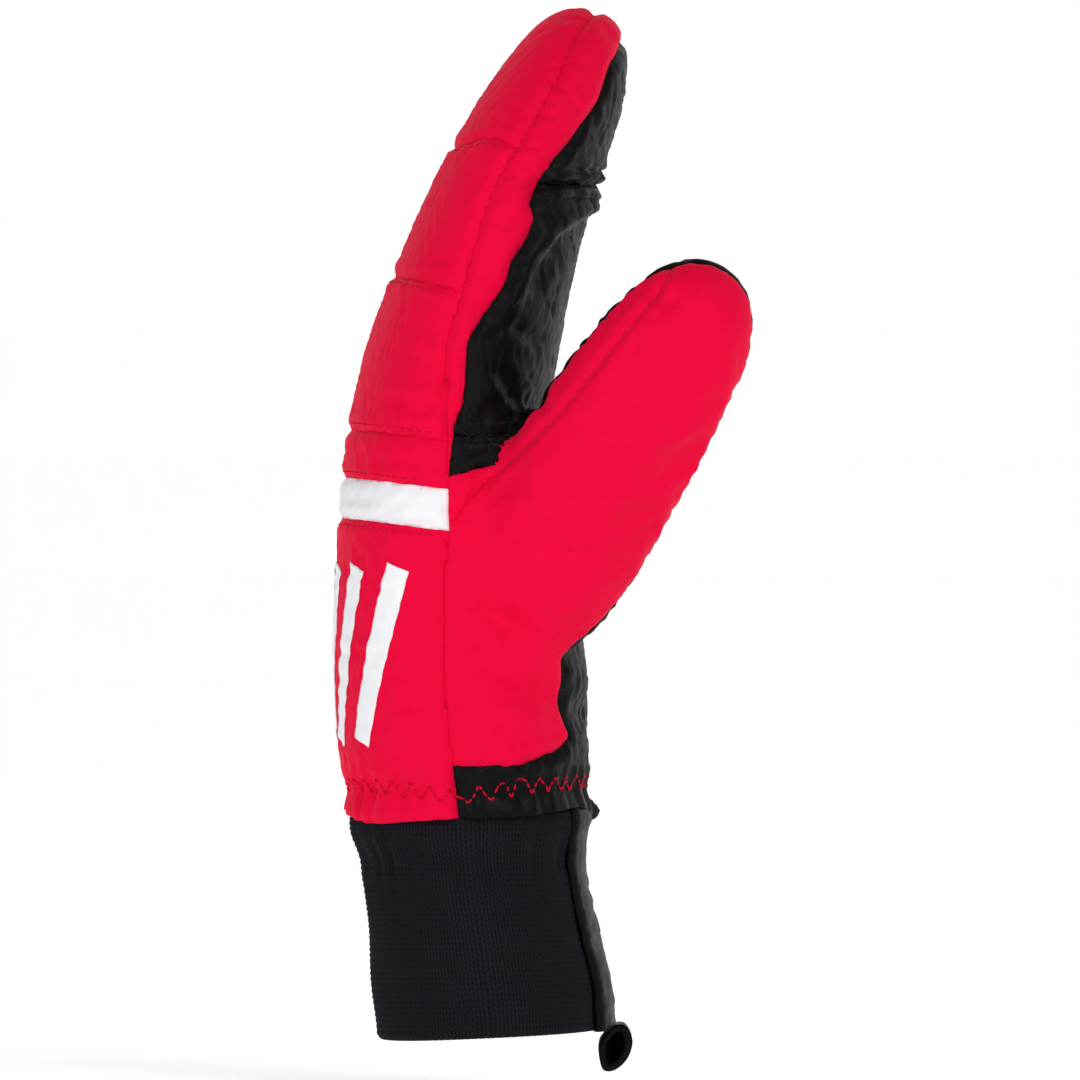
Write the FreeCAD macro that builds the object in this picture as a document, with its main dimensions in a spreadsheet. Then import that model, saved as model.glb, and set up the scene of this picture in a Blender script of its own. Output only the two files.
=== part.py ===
import FreeCAD, Part
import math
import os

# A left-hand ski mitten, in millimetres, fingers up.
#
# Frame: the origin is the middle of the wrist opening, at the height of the wrist elastic.
# +Z runs to the fingertips, +X points out of the palm, and the thumb is on the -Y side.
#
# The mitten is five soft layers, one inside the next, and each layer is one envelope less the
# next smaller one: the outer shell of sewn panels, the insulation, the waterproof insert, the
# lining, and the room for the hand. Every envelope is a hand pocket plus a thumb.

doc = FreeCAD.newDocument("ski_mitten")
sizes = doc.addObject("Spreadsheet::Sheet", "sizes")

SIZES = [
    # The hand pocket, outside
    ("hand_length", 211.0, "wrist elastic to the fingertips"),
    ("hand_depth", 66.0, "back of the hand to the palm, at the heel of the hand"),
    ("hand_breadth", 98.0, "little-finger side to thumb side, at the knuckles"),
    ("knuckle_height", 95.0, "wrist elastic to the line where the fingers bend"),
    ("knuckle_axis", -10.0, "where that bend's axis lies, from the wrist's middle, along X"),
    ("curl_limit", 25.0, "furthest that the fingers curl, degrees"),
    ("hem_drop", 7.0, "shell's hem below the elastic"),
    # The thumb
    ("thumb_root_x", 13.8, "root point of the thumb, inside the palm"),
    ("thumb_root_y", -32.0, ""),
    ("thumb_root_z", -4.0, "from the mitten's thumb height down to the root point"),
    ("thumb_height", 66.3, "height of the thumb's root"),
    ("thumb_length", 96.0, "root point to the tip"),
    ("thumb_width", 48.0, "widest, across the thumb"),
    ("thumb_lean", 37.5, "from upright, degrees"),
    ("thumb_heading", 32.7, "from the palm's direction towards the thumb side, degrees"),
    ("thumb_bend", 25.0, "root point to the thumb's bending line"),
    ("thumb_gap", 9.0, "bending line to the rigid sleeve of insulation"),
    # Layers
    ("shell_wall", 1.4, "shell fabric and leather"),
    ("back_fill", 6.0, "insulation over the back of the hand"),
    ("palm_fill", 3.0, "insulation over the palm"),
    ("side_fill", 4.0, "insulation at the sides, the tip and round the thumb"),
    ("insert_wall", 0.6, "waterproof insert"),
    ("lining_wall", 1.2, "brushed lining"),
    ("seam_gap", 0.3, "between panels that move apart"),
    # Cross seams on the back, as heights where they meet the wrist's middle plane
    ("tip_seam", 171.5, ""),
    ("middle_seam", 133.0, ""),
    ("stripe_top", 81.0, ""),
    ("stripe_width", 11.0, ""),
    ("tip_seam_tilt", 14.0, "degrees, down towards the palm"),
    ("band_tilt", 5.0, "degrees, down towards the palm"),
    ("gusset_end", 84.0, "height where the thumb-side gusset runs out"),
    ("little_gusset", 12.0, "width of the little-finger gusset below the knuckles"),
    ("thumb_panel_foot", 9.0, "lower edge of the thumb panel above the elastic"),
    ("thumb_panel_edge", -24.0, "where the thumb panel meets the palm leather, along Y"),
    ("thumb_strip", 13.0, "thumb's middle to the seam of its front strip"),
    ("gather_height", 163.0, "gathered seam across the palm of the fingers"),
    # Wrist
    ("elastic_width", 10.0, ""),
    ("elastic_wall", 0.7, ""),
    ("knit_clearance", 0.2, "between the elastic and the knit"),
    ("thread_diameter", 0.5, "zigzag thread"),
    ("zigzag_pitch", 7.5, "one zig and zag along the wrist"),
    ("zigzag_rise", 5.0, ""),
    # Cuff
    ("cuff_length", 57.5, "shell's hem to the cuff's fold"),
    ("cuff_depth", 60.3, "at the fold"),
    ("cuff_breadth", 77.0, "at the fold"),
    ("cuff_shift", 1.6, "cuff's middle at the fold, along X"),
    ("knit_wall", 1.1, "each of the two layers of rib knit"),
    ("knit_tuck", 11.0, "knit that is sewn in above the hem"),
    # Leather on the cuff
    ("strip_width", 40.0, ""),
    ("strip_wall", 1.6, ""),
    ("strip_foot", 0.5, "strip's end below the cuff's fold"),
    ("strip_gap", 0.15, "strip's clearance to the knit"),
    ("tab_width", 22.0, ""),
    ("tab_length", 11.5, ""),
    ("tab_opening", 6.6, "inside the pull tab's loop, across"),
    # Trim
    ("print_wall", 0.25, "white transfer film"),
    ("bar_width", 7.0, "each slanting bar of the print"),
    ("bar_length", 50.0, ""),
    ("bar_spacing", 16.0, ""),
    ("bar_lean", 18.0, "degrees from upright"),
    ("bar_foot", 12.0, "the bars' lower end above the elastic"),
    ("bar_to_seam", 14.0, "the bars stop this far behind the wrist's middle"),
    ("label_width", 30.0, "woven care label"),
    ("label_length", 38.0, ""),
    ("label_wall", 0.4, ""),
]
for row, (name, value, note) in enumerate(SIZES, start=1):
    sizes.set(f"A{row}", name)
    sizes.set(f"B{row}", str(value))
    sizes.set(f"C{row}", note)
    sizes.setAlias(f"B{row}", name)
doc.recompute()


def size(name):
    return float(sizes.get(name))


# Sums of walls that several pieces share, written once as expressions.
# Each inset is from the outside of the shell to the outside of that layer.
NOTHING = ("0", "0", "0")
UNDER_SHELL = ("sizes.shell_wall",) * 3
UNDER_FILL = tuple(
    f"(sizes.shell_wall + sizes.{fill})" for fill in ("back_fill", "palm_fill", "side_fill")
)
UNDER_INSERT = tuple(f"({inset} + sizes.insert_wall)" for inset in UNDER_FILL)
UNDER_LINING = tuple(f"({inset} + sizes.lining_wall)" for inset in UNDER_INSERT)
UNDER_ELASTIC = ("(sizes.shell_wall + sizes.elastic_wall)",) * 3
UNDER_KNIT_GAP = ("(sizes.shell_wall + sizes.elastic_wall + sizes.knit_clearance)",) * 3
LAYERS = {
    "shell": (NOTHING, UNDER_SHELL),
    "fill": (UNDER_SHELL, UNDER_FILL),
    "insert": (UNDER_FILL, UNDER_INSERT),
    "lining": (UNDER_INSERT, UNDER_LINING),
}

# The hand pocket's outline, from the wrist up: height as a share of hand_length, then the back
# and the palm as shares of hand_depth, and the thumb side and the little-finger side as shares
# of hand_breadth. The fingers lean over the palm, so the back's share turns negative.
POCKET = [
    (0.000, 0.583, 0.417, 0.408, 0.418),
    (0.066, 0.609, 0.409, 0.428, 0.438),
    (0.185, 0.624, 0.394, 0.459, 0.469),
    (0.314, 0.611, 0.303, 0.490, 0.500),
    (0.456, 0.579, 0.250, 0.500, 0.510),
    (0.570, 0.491, 0.298, 0.495, 0.505),
    (0.670, 0.371, 0.364, 0.480, 0.490),
    (0.774, 0.226, 0.455, 0.444, 0.454),
    (0.850, 0.094, 0.536, 0.388, 0.398),
    (0.903, -0.008, 0.573, 0.327, 0.337),
    (0.950, -0.121, 0.561, 0.245, 0.255),
    (0.981, -0.220, 0.527, 0.158, 0.168),
    (1.000, -0.318, 0.455, 0.061, 0.071),
]
HEM = (0.553, 0.409, 0.403, 0.413)
DOME = 7  # the station where the fingertips' dome starts

# The thumb's outline from inside the palm to its tip: distance from the root point as a share
# of thumb_length, then half its width and half its thickness as shares of thumb_width.
THUMB = [
    (-0.229, 0.417, 0.312),
    (0.000, 0.500, 0.396),
    (0.260, 0.490, 0.427),
    (0.521, 0.448, 0.406),
    (0.750, 0.396, 0.365),
    (0.885, 0.312, 0.292),
    (0.958, 0.208, 0.198),
    (1.000, 0.083, 0.079),
]
THUMB_DOME = 4

# The long seams in the side view: (height share, X share). The back seam parts the back panels
# from the sides, and the leather seam parts the gussets from the palm leather.
BACK_SEAM = [
    (-0.10, -0.12),
    (0.19, -0.167),
    (0.38, -0.152),
    (0.545, -0.164),
    (0.700, -0.045),
    (0.815, 0.120),
    (0.898, 0.273),
    (0.967, 0.380),
    (1.05, 0.470),
]
LEATHER_SEAM = [
    (0.38, -0.152),
    (0.520, -0.090),
    (0.620, 0.029),
    (0.735, 0.192),
    (0.825, 0.345),
    (0.877, 0.458),
    (0.948, 0.548),
    (1.05, 0.62),
]


def add(kind, name, label=None):
    thing = doc.addObject(kind, name)
    thing.Label = label or name
    return thing


def bind(thing, **expressions):
    for prop, expression in expressions.items():
        thing.setExpression(prop, str(expression))
    return thing


def cut(name, base, tool, label=None):
    piece = add("Part::Cut", name, label)
    piece.Base, piece.Tool = base, tool
    return piece


def common(name, base, tool, label=None):
    piece = add("Part::Common", name, label)
    piece.Base, piece.Tool = base, tool
    return piece


def fuse(name, *shapes, label=None):
    piece = add("Part::MultiFuse", name, label)
    piece.Shapes = list(shapes)
    piece.Refine = False
    return piece


def place(x, y, z, axis="vector(0;0;1)", angle="0"):
    return f"placement(vector({x};{y};{z});rotation({axis};{angle}))"


def oval(name, back, palm, thumb_side, little_side, height):
    """A level ellipse between four limits along X and Y. It is wider along Y than along X."""
    section = add("Part::Ellipse", name)
    return bind(
        section,
        MajorRadius=f"(({thumb_side}) + ({little_side})) / 2",
        MinorRadius=f"(({back}) + ({palm})) / 2",
        Placement=place(
            f"(({palm}) - ({back})) / 2",
            f"(({little_side}) - ({thumb_side})) / 2",
            height,
            angle="90",
        ),
    )


def loft(name, sections, label=None):
    body = add("Part::Loft", name, label)
    body.Sections, body.Solid = sections, True
    return body


def shares_at(station, inset, shrink):
    """The four limits of a pocket section, each less its inset. The dome shrinks the insets."""
    back, palm, thumb_side, little_side = station
    return (
        f"sizes.hand_depth * {back} - {inset[0]} * {shrink:.4f}",
        f"sizes.hand_depth * {palm} - {inset[1]} * {shrink:.4f}",
        f"sizes.hand_breadth * {thumb_side} - {inset[2]} * {shrink:.4f}",
        f"sizes.hand_breadth * {little_side} - {inset[2]} * {shrink:.4f}",
    )


def hand_pocket(name, inset):
    """The hand pocket's envelope, less a wall that differs over the back, palm and sides."""
    sections = [oval(f"{name}_hem", *shares_at(HEM, inset, 1), "-sizes.hem_drop")]
    dome = POCKET[DOME]
    for i, (height, *limits) in enumerate(POCKET):
        share = max(0.0, (height - dome[0]) / (1 - dome[0]))
        shrink = 1.0
        if i > DOME:
            shrink = (limits[0] + limits[1]) / (dome[1] + dome[2])
        level = f"sizes.hand_length * {height} - {inset[2]} * {share:.4f}"
        sections.append(oval(f"{name}_{i}", *shares_at(limits, inset, shrink), level))
    return loft(name, sections)


THUMB_TILT_AXIS = "vector(sin(sizes.thumb_heading);cos(sizes.thumb_heading);0)"


def along_thumb(distance):
    """X, Y and Z of a point on the thumb's middle line, at a distance from its root point."""
    forward = f"({distance}) * sin(sizes.thumb_lean)"
    return (
        f"sizes.thumb_root_x + {forward} * cos(sizes.thumb_heading)",
        f"sizes.thumb_root_y - {forward} * sin(sizes.thumb_heading)",
        f"sizes.thumb_height + sizes.thumb_root_z + ({distance}) * cos(sizes.thumb_lean)",
    )


def thumb_sleeve(name, inset):
    """The thumb's envelope less a wall, which is the side's all round."""
    sections = []
    dome_at, dome_half, _ = THUMB[THUMB_DOME]
    for i, (at, half_width, half_thick) in enumerate(THUMB):
        share = max(0.0, (at - dome_at) / (1 - dome_at))
        shrink = half_width / dome_half if i > THUMB_DOME else 1.0
        distance = f"sizes.thumb_length * {at} - {inset[2]} * {share:.4f}"
        section = bind(
            add("Part::Ellipse", f"{name}_{i}"),
            MajorRadius=f"sizes.thumb_width * {half_width} - {inset[2]} * {shrink:.4f}",
            MinorRadius=f"sizes.thumb_width * {half_thick} - {inset[2]} * {shrink:.4f}",
            Placement=place(*along_thumb(distance), THUMB_TILT_AXIS, "sizes.thumb_lean"),
        )
        sections.append(section)
    return loft(name, sections)


# --- Cutters: the shapes that part one panel from the next -----------------------------------

REACH = 400.0  # larger than the mitten, for cutters that only have to go past it


def seam_prism(name, seam, low_y, high_y, back_side=True):
    """Everything on the back's side of a seam drawn in the side view, between two Y planes."""
    points = [
        FreeCAD.Vector(x * size("hand_depth"), low_y, z * size("hand_length")) for z, x in seam
    ]
    curve = Part.BSplineCurve()
    curve.interpolate(points)
    far_x = -REACH if back_side else REACH
    top = FreeCAD.Vector(points[-1].x, low_y, REACH)
    foot = FreeCAD.Vector(points[0].x, low_y, -REACH)
    corners = [
        points[-1],
        top,
        FreeCAD.Vector(far_x, low_y, REACH),
        FreeCAD.Vector(far_x, low_y, -REACH),
        foot,
        points[0],
    ]
    edges = [curve.toShape()] + [Part.makeLine(a, b) for a, b in zip(corners, corners[1:])]
    outline = Part.Wire(Part.__sortEdges__(edges))
    prism = Part.Face(outline).extrude(FreeCAD.Vector(0, high_y - low_y, 0))
    cutter = add("Part::Feature", name)
    cutter.Shape = prism
    return cutter


def block(name, x, y, z, length, width, height, axis="vector(0;1;0)", angle="0", pivot=None):
    """A box from its lowest corner, turned about a pivot, or about the origin."""
    box = add("Part::Box", name)
    bind(box, Length=length, Width=width, Height=height)
    turn = f"rotation({axis};{angle})"
    if pivot is None:
        box.setExpression("Placement", f"placement(vector({x};{y};{z});{turn})")
    else:
        centre = f"vector({';'.join(pivot)})"
        shift = f"placement(vector({x};{y};{z});rotation(vector(0;0;1);0))"
        box.setExpression(
            "Placement", f"placement({centre};{turn}) * {shift}"
        )
    return box


def above(name, height, tilt="0", pivot_x="0"):
    """Everything above a plane that is tilted about Y, given its height at pivot_x."""
    return block(
        name,
        -REACH / 2,
        -REACH / 2,
        0,
        REACH,
        REACH,
        REACH,
        angle=tilt,
        pivot=(pivot_x, "0", height),
    )


def thumb_block(name, x, y, z, length, width, height):
    """A box in the thumb's own frame: X across it, Y through it, Z to its tip."""
    box = add("Part::Box", name)
    bind(box, Length=length, Width=width, Height=height)
    root = place(*along_thumb("0"), THUMB_TILT_AXIS, "sizes.thumb_lean")
    shift = f"placement(vector({x};{y};{z});rotation(vector(0;0;1);0))"
    box.setExpression("Placement", f"{root} * {shift}")
    return box


# --- Envelopes and layers --------------------------------------------------------------------

# The layers inside the shell start just over the wrist elastic.
inside_shell_level = above("level_inner", "sizes.elastic_width / 2 + sizes.seam_gap")

INSETS = {
    "skin": NOTHING,
    "under_shell": UNDER_SHELL,
    "under_fill": UNDER_FILL,
    "under_insert": UNDER_INSERT,
    "under_lining": UNDER_LINING,
}
pocket = {name: hand_pocket(f"pocket_{name}", inset) for name, inset in INSETS.items()}
thumb = {name: thumb_sleeve(f"thumb_{name}", inset) for name, inset in INSETS.items()}


def pocket_layer(name, outer, inner):
    """One layer of the hand pocket, with the hole where the thumb opens into it."""
    wall = cut(f"{name}_wall", pocket[outer], pocket[inner])
    return cut(f"{name}_pocket", wall, thumb[inner])


def thumb_layer(name, outer, inner):
    """One layer of the thumb, from where it leaves the hand pocket."""
    wall = cut(f"{name}_thumb_wall", thumb[outer], thumb[inner])
    return cut(f"{name}_thumb", wall, pocket[outer])


shell_pocket = pocket_layer("shell", "skin", "under_shell")
shell_thumb = thumb_layer("shell", "skin", "under_shell")
fill_pocket = common(
    "fill_pocket_trimmed", pocket_layer("fill", "under_shell", "under_fill"), inside_shell_level
)
fill_thumb = thumb_layer("fill", "under_shell", "under_fill")

parts = []


def part(piece, label):
    """Marks a document object as a sub-part of the mitten, under its own name."""
    piece.Label = label
    parts.append(piece)
    return piece


def one_bag(name, outer, inner):
    """An insert or lining: hand and thumb sewn into one bag, open at the wrist."""
    hand = common(f"{name}_hand", pocket_layer(name, outer, inner), inside_shell_level)
    return part(fuse(f"{name}_bag", hand, thumb_layer(name, outer, inner)), name)


one_bag("waterproof_insert", "under_fill", "under_insert")
one_bag("inner_lining", "under_insert", "under_lining")

# --- Back panels -----------------------------------------------------------------------------

back_side = seam_prism("back_side", BACK_SEAM, -REACH, REACH)
over_tip = above("over_tip_seam", "sizes.tip_seam", "sizes.tip_seam_tilt")
over_middle = above("over_middle_seam", "sizes.middle_seam", "sizes.tip_seam_tilt")
over_knuckle = above("over_knuckles", "sizes.knuckle_height + sizes.seam_gap / 2")
to_knuckle = above("to_knuckles", "sizes.knuckle_height - sizes.seam_gap / 2")
over_stripe = above("over_stripe", "sizes.stripe_top", "sizes.band_tilt")
from_stripe = above("from_stripe", "sizes.stripe_top - sizes.stripe_width", "sizes.band_tilt")


def back_panel(label, zone):
    """The back's share of the shell, between two seams."""
    back_zone = common(f"{label}_zone", zone, back_side)
    return part(common(f"{label}_cloth", shell_pocket, back_zone), label)


back_panel("back_fingertip_panel", over_tip)
back_panel("back_upper_panel", cut("upper_zone", over_middle, over_tip))
back_panel("back_middle_panel", cut("middle_zone", over_knuckle, over_middle))
back_panel("knuckle_band", cut("band_zone", over_stripe, to_knuckle))
back_panel("white_stripe", cut("stripe_zone", from_stripe, over_stripe))
back_panel("back_lower_panel", cut("lower_zone", back_side, from_stripe))

# --- Side gussets ----------------------------------------------------------------------------


def little_seam():
    """The leather seam on the little-finger side: it keeps the gusset's width to the hem."""
    width = size("little_gusset") / size("hand_depth")
    low = [(z, x + width) for z, x in BACK_SEAM[:4]]
    return low + [(z, x) for z, x in LEATHER_SEAM if z > 0.6]


thumb_gusset_side = seam_prism("thumb_gusset_side", LEATHER_SEAM, -REACH, 0)
over_gusset_end = above("over_gusset_end", "sizes.gusset_end")
thumb_gusset_zone = common("thumb_gusset_zone", thumb_gusset_side, over_gusset_end)
thumb_gusset_side_zone = cut("thumb_gusset_side_zone", thumb_gusset_zone, back_side)
part(common("thumb_gusset", shell_pocket, thumb_gusset_side_zone), "thumb_side_gusset")
little_gusset_zone = seam_prism("little_gusset_zone", little_seam(), 0, REACH)
little_gusset_side_zone = cut("little_gusset_side_zone", little_gusset_zone, back_side)
part(common("little_gusset_piece", shell_pocket, little_gusset_side_zone), "little_finger_gusset")

# --- Palm leather ----------------------------------------------------------------------------

over_gather = above("over_gather", "sizes.gather_height")


def palm_piece(name, zone):
    """The palm's share of the shell between two seams: off the back and the gussets."""
    off_back = cut(f"{name}_off_back", zone, back_side)
    off_thumb_gusset = cut(f"{name}_off_gusset", off_back, thumb_gusset_zone)
    palm_zone = cut(f"{name}_palm_zone", off_thumb_gusset, little_gusset_zone)
    return common(f"{name}_palm", shell_pocket, palm_zone)


part(palm_piece("tip", over_gather), "palm_fingertip_leather")
part(palm_piece("finger", cut("finger_zone", over_knuckle, over_gather)), "palm_finger_leather")
whole_shell = above("whole_shell", f"-{REACH} / 2")
heel_and_thumb = palm_piece("heel", cut("heel_zone", whole_shell, over_knuckle))
thumb_panel_zone = block(
    "thumb_panel_zone",
    -REACH / 2,
    -REACH,
    "sizes.thumb_panel_foot",
    REACH,
    f"{REACH} + sizes.thumb_panel_edge",
    REACH,
)
part(cut("heel", heel_and_thumb, thumb_panel_zone), "palm_heel_leather")

# --- Thumb shell -----------------------------------------------------------------------------

outer_half = thumb_block("thumb_outer_half", -REACH / 2, -REACH, -REACH / 2, REACH, REACH, REACH)
front_strip_side = thumb_block(
    "thumb_front_side",
    f"-sizes.thumb_strip - {REACH}",
    -REACH / 2,
    -REACH / 2,
    REACH,
    REACH,
    REACH,
)
thumb_outer = common("thumb_outer", shell_thumb, outer_half)
part(cut("thumb_inner", shell_thumb, outer_half), "thumb_palm_leather")
part(common("thumb_strip_piece", thumb_outer, front_strip_side), "thumb_front_strip")
thumb_face = cut("thumb_face", thumb_outer, front_strip_side)
thumb_foot = common("thumb_foot", heel_and_thumb, thumb_panel_zone)
part(fuse("thumb_panel", thumb_face, thumb_foot), "thumb_outer_panel")

# --- Insulation ------------------------------------------------------------------------------

# The fill is parted at the knuckles. On the palm's side of the bend it leaves a wedge free, so
# that the fingers can close over it.
curl_side = block(
    "curl_side",
    0,
    -REACH / 2,
    0,
    REACH,
    REACH,
    REACH,
    angle="-sizes.curl_limit - 2",
    pivot=("sizes.knuckle_axis", "0", "sizes.knuckle_height + sizes.seam_gap / 2"),
)
back_of_bend = block(
    "back_of_bend",
    "sizes.knuckle_axis - 400",
    -REACH / 2,
    "sizes.knuckle_height + sizes.seam_gap / 2",
    REACH,
    REACH,
    REACH,
)
fingers_zone = fuse("fingers_zone", curl_side, back_of_bend)
fill_fingers = common("fill_fingers", fill_pocket, fingers_zone)
fill_hand = cut("fill_hand", fill_pocket, to_knuckle)
part(common("fill_fingers_back", fill_fingers, back_side), "insulation_fingers_back")
part(cut("fill_fingers_palm", fill_fingers, back_side), "insulation_fingers_palm")
part(common("fill_hand_back", fill_hand, back_side), "insulation_hand_back")
part(cut("fill_hand_palm", fill_hand, back_side), "insulation_hand_palm")
thumb_end = thumb_block(
    "thumb_end",
    -REACH / 2,
    -REACH / 2,
    "sizes.thumb_bend + sizes.thumb_gap",
    REACH,
    REACH,
    REACH,
)
part(common("fill_thumb_sleeve", fill_thumb, thumb_end), "insulation_thumb")

# --- Wrist elastic, and the zigzag thread that holds it ---------------------------------------

under_elastic = hand_pocket("pocket_under_elastic", UNDER_ELASTIC)
elastic_zone = block(
    "elastic_zone",
    -REACH / 2,
    -REACH / 2,
    "-sizes.elastic_width / 2",
    REACH,
    REACH,
    "sizes.elastic_width",
)
elastic_wall = cut("elastic_wall", pocket["under_shell"], under_elastic)
part(common("elastic_band", elastic_wall, elastic_zone), "wrist_elastic")


def zigzag_thread():
    """Thread in zigzags over the palm and thumb side, on the outside of the shell."""
    half_x = size("hand_depth") * (POCKET[0][1] + POCKET[0][2]) / 2
    half_y = size("hand_breadth") * (POCKET[0][3] + POCKET[0][4]) / 2
    middle_x = size("hand_depth") * (POCKET[0][2] - POCKET[0][1]) / 2
    middle_y = size("hand_breadth") * (POCKET[0][4] - POCKET[0][3]) / 2
    radius = size("thread_diameter") / 2
    stand = radius + 1.0  # clear of the shell, which is a little wider above the elastic
    girth = math.pi * (half_x + half_y)
    count = int(0.62 * girth / size("zigzag_pitch")) * 2
    first, last = math.radians(-110), math.radians(110)
    corners = []
    for i in range(count + 1):
        turn = first + (last - first) * i / count
        height = size("zigzag_rise") * (0.5 if i % 2 else -0.5)
        corners.append(
            FreeCAD.Vector(
                middle_x + (half_x + stand) * math.cos(turn),
                middle_y + (half_y + stand) * math.sin(turn),
                height,
            )
        )
    stitches = []
    for a, b in zip(corners, corners[1:]):
        gap = (b - a).normalize() * radius
        start = a + gap
        stitches.append(
            Part.makeCylinder(radius, (b - a).Length - 2 * radius, start, b - a)
        )
    return Part.makeCompound(stitches)


thread = add("Part::Feature", "zigzag")
thread.Shape = zigzag_thread()
part(thread, "wrist_zigzag_thread")

# --- Knit cuff -------------------------------------------------------------------------------

# The cuff's outline below the hem: depth below the hem as a share of cuff_length, then how far
# the back, the palm and the sides have gone from the hem's outline (0) to the fold's (1).
CUFF = [
    (0.02, 0.00, 0.00, 0.0),
    (0.13, 0.24, -0.25, 0.5),
    (0.30, 0.48, -0.17, 0.9),
    (0.58, 0.71, 0.42, 1.0),
    (0.80, 0.81, 0.90, 1.0),
    (0.94, 0.95, 1.00, 1.0),
]


def cuff_section(name, mixes, inset, depth):
    """A level section of the cuff, mixed from the hem's outline and the fold's."""
    hem = shares_at(HEM, NOTHING, 1)
    back, palm, side = mixes
    fold = (
        ("sizes.cuff_depth / 2 - sizes.cuff_shift", back),
        ("sizes.cuff_depth / 2 + sizes.cuff_shift", palm),
        ("sizes.cuff_breadth / 2", side),
        ("sizes.cuff_breadth / 2", side),
    )
    limits = [f"({h}) * {1 - mix:.3f} + ({f}) * {mix:.3f} - {inset}" for h, (f, mix) in zip(hem, fold)]
    return oval(name, *limits, f"-sizes.hem_drop - sizes.cuff_length * {depth}")


def cuff_envelope(name, inset, end=1.05, end_round="0"):
    """The cuff's outline less an inset, down to a depth share."""
    sections = [
        cuff_section(f"{name}_{i}", mixes, f"({inset})", depth)
        for i, (depth, *mixes) in enumerate(CUFF)
    ]
    sections.append(cuff_section(f"{name}_end", (1, 1, 1), f"({inset} + {end_round})", end))
    return loft(name, sections)


def cuff_neck(name, inset, low, high):
    """The narrow top of the knit, which is sewn in under the elastic."""
    wall = (f"({UNDER_KNIT_GAP[0]} + {inset})",) * 3
    limits = shares_at(HEM, wall, 1)
    return loft(name, [oval(f"{name}_low", *limits, low), oval(f"{name}_high", *limits, high)])


knit_top = "sizes.knit_tuck - sizes.hem_drop"
knit_foot = "-sizes.hem_drop - 1.2 - sizes.knit_wall"
cuff_outside = cuff_envelope("cuff_outside", "0", end=1.0, end_round="sizes.knit_wall * 0.5")
cuff_between = cuff_envelope("cuff_between", "sizes.knit_wall")
cuff_inside = cuff_envelope("cuff_inside", "sizes.knit_wall * 2")
shoulder_zone = above("shoulder_zone", knit_foot)
shoulder = common("shoulder", cuff_outside, shoulder_zone)
neck = fuse("neck", shoulder, cuff_neck("neck_outer", "0", knit_foot, knit_top))
neck_hole = cuff_neck("neck_hole", "sizes.knit_wall", f"{knit_foot} - 1", f"{knit_top} + 1")
outer_wall = cut("outer_wall", cuff_outside, cuff_between)
part(fuse("outer_knit", outer_wall, cut("collar", neck, neck_hole)), "knit_cuff_outer_layer")
inner_wall = cut("inner_wall", cuff_between, cuff_inside)
over_fold = above("over_fold", "-sizes.hem_drop - sizes.cuff_length")
wrist_room = above("wrist_room", "-sizes.hem_drop - sizes.cuff_length * 0.125")
inner_layer = cut("inner_layer", common("inner_to_fold", inner_wall, over_fold), wrist_room)
part(inner_layer, "knit_cuff_inner_layer")

# --- Leather strip down the cuff, and the pull tab ---------------------------------------------

strip_inside = cuff_envelope("strip_inside", "-sizes.strip_gap")
strip_outside = cuff_envelope("strip_outside", "-sizes.strip_gap - sizes.strip_wall")
strip_zone = block(
    "strip_zone",
    0,
    "-sizes.strip_width / 2",
    "-sizes.hem_drop - sizes.cuff_length - sizes.strip_foot",
    REACH,
    "sizes.strip_width",
    "sizes.cuff_length + sizes.strip_foot - 4",
)
strip_wall = cut("strip_sleeve", strip_outside, strip_inside)
part(common("strip", strip_wall, strip_zone), "cuff_leather_strip")


def pull_tab():
    """A strap folded into a loop. It hangs from the strip's foot like a drop, point up."""
    wall = size("strip_wall")
    radius = size("tab_opening") / 2
    palm_x = size("cuff_depth") / 2 + size("cuff_shift")
    point_z = -size("hem_drop") - size("cuff_length") - size("strip_foot") - size("seam_gap")
    foot = FreeCAD.Vector(palm_x + wall / 2, 0, point_z - size("tab_length") + radius + wall)

    def drop(radius, point_z):
        rise = point_z - foot.z
        lean = math.asin(radius / rise)
        across = FreeCAD.Vector(radius * math.cos(lean), 0, 0)
        up = FreeCAD.Vector(0, 0, radius * math.sin(lean))
        point = FreeCAD.Vector(foot.x, 0, point_z)
        left, right = foot - across + up, foot + across + up
        bottom = foot - FreeCAD.Vector(0, 0, radius)
        arc = Part.Arc(left, bottom, right).toShape()
        return Part.Wire([arc, Part.makeLine(right, point), Part.makeLine(point, left)])

    width = FreeCAD.Vector(0, size("tab_width"), 0)
    outer = Part.Face(drop(radius + wall, point_z)).extrude(width)
    inner = Part.Face(drop(radius, point_z - 1.3 * wall)).extrude(width)
    loop = outer.cut(inner)
    loop.translate(width * -0.5)
    return loop


tab = add("Part::Feature", "tab")
tab.Shape = pull_tab()
part(tab, "pull_tab")

# --- Print and label ---------------------------------------------------------------------------

over_skin = hand_pocket("pocket_over_skin", ("-sizes.print_wall",) * 3)
film = cut("film", over_skin, pocket["skin"])
bars = []
for i in range(6):
    bar = add("Part::Box", f"bar_{i}")
    bind(bar, Length=f"{REACH} - sizes.bar_to_seam", Width="sizes.bar_width", Height="sizes.bar_length")
    foot = f"vector(-{REACH};sizes.bar_spacing * ({i} - 1.5) - sizes.bar_width;sizes.bar_foot)"
    turn = "rotation(vector(1;0;0);sizes.bar_lean)"
    bar.setExpression("Placement", f"placement({foot};{turn})")
    bars.append(bar)
part(common("print_piece", film, fuse("print_bars", *bars)), "printed_bars")

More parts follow.
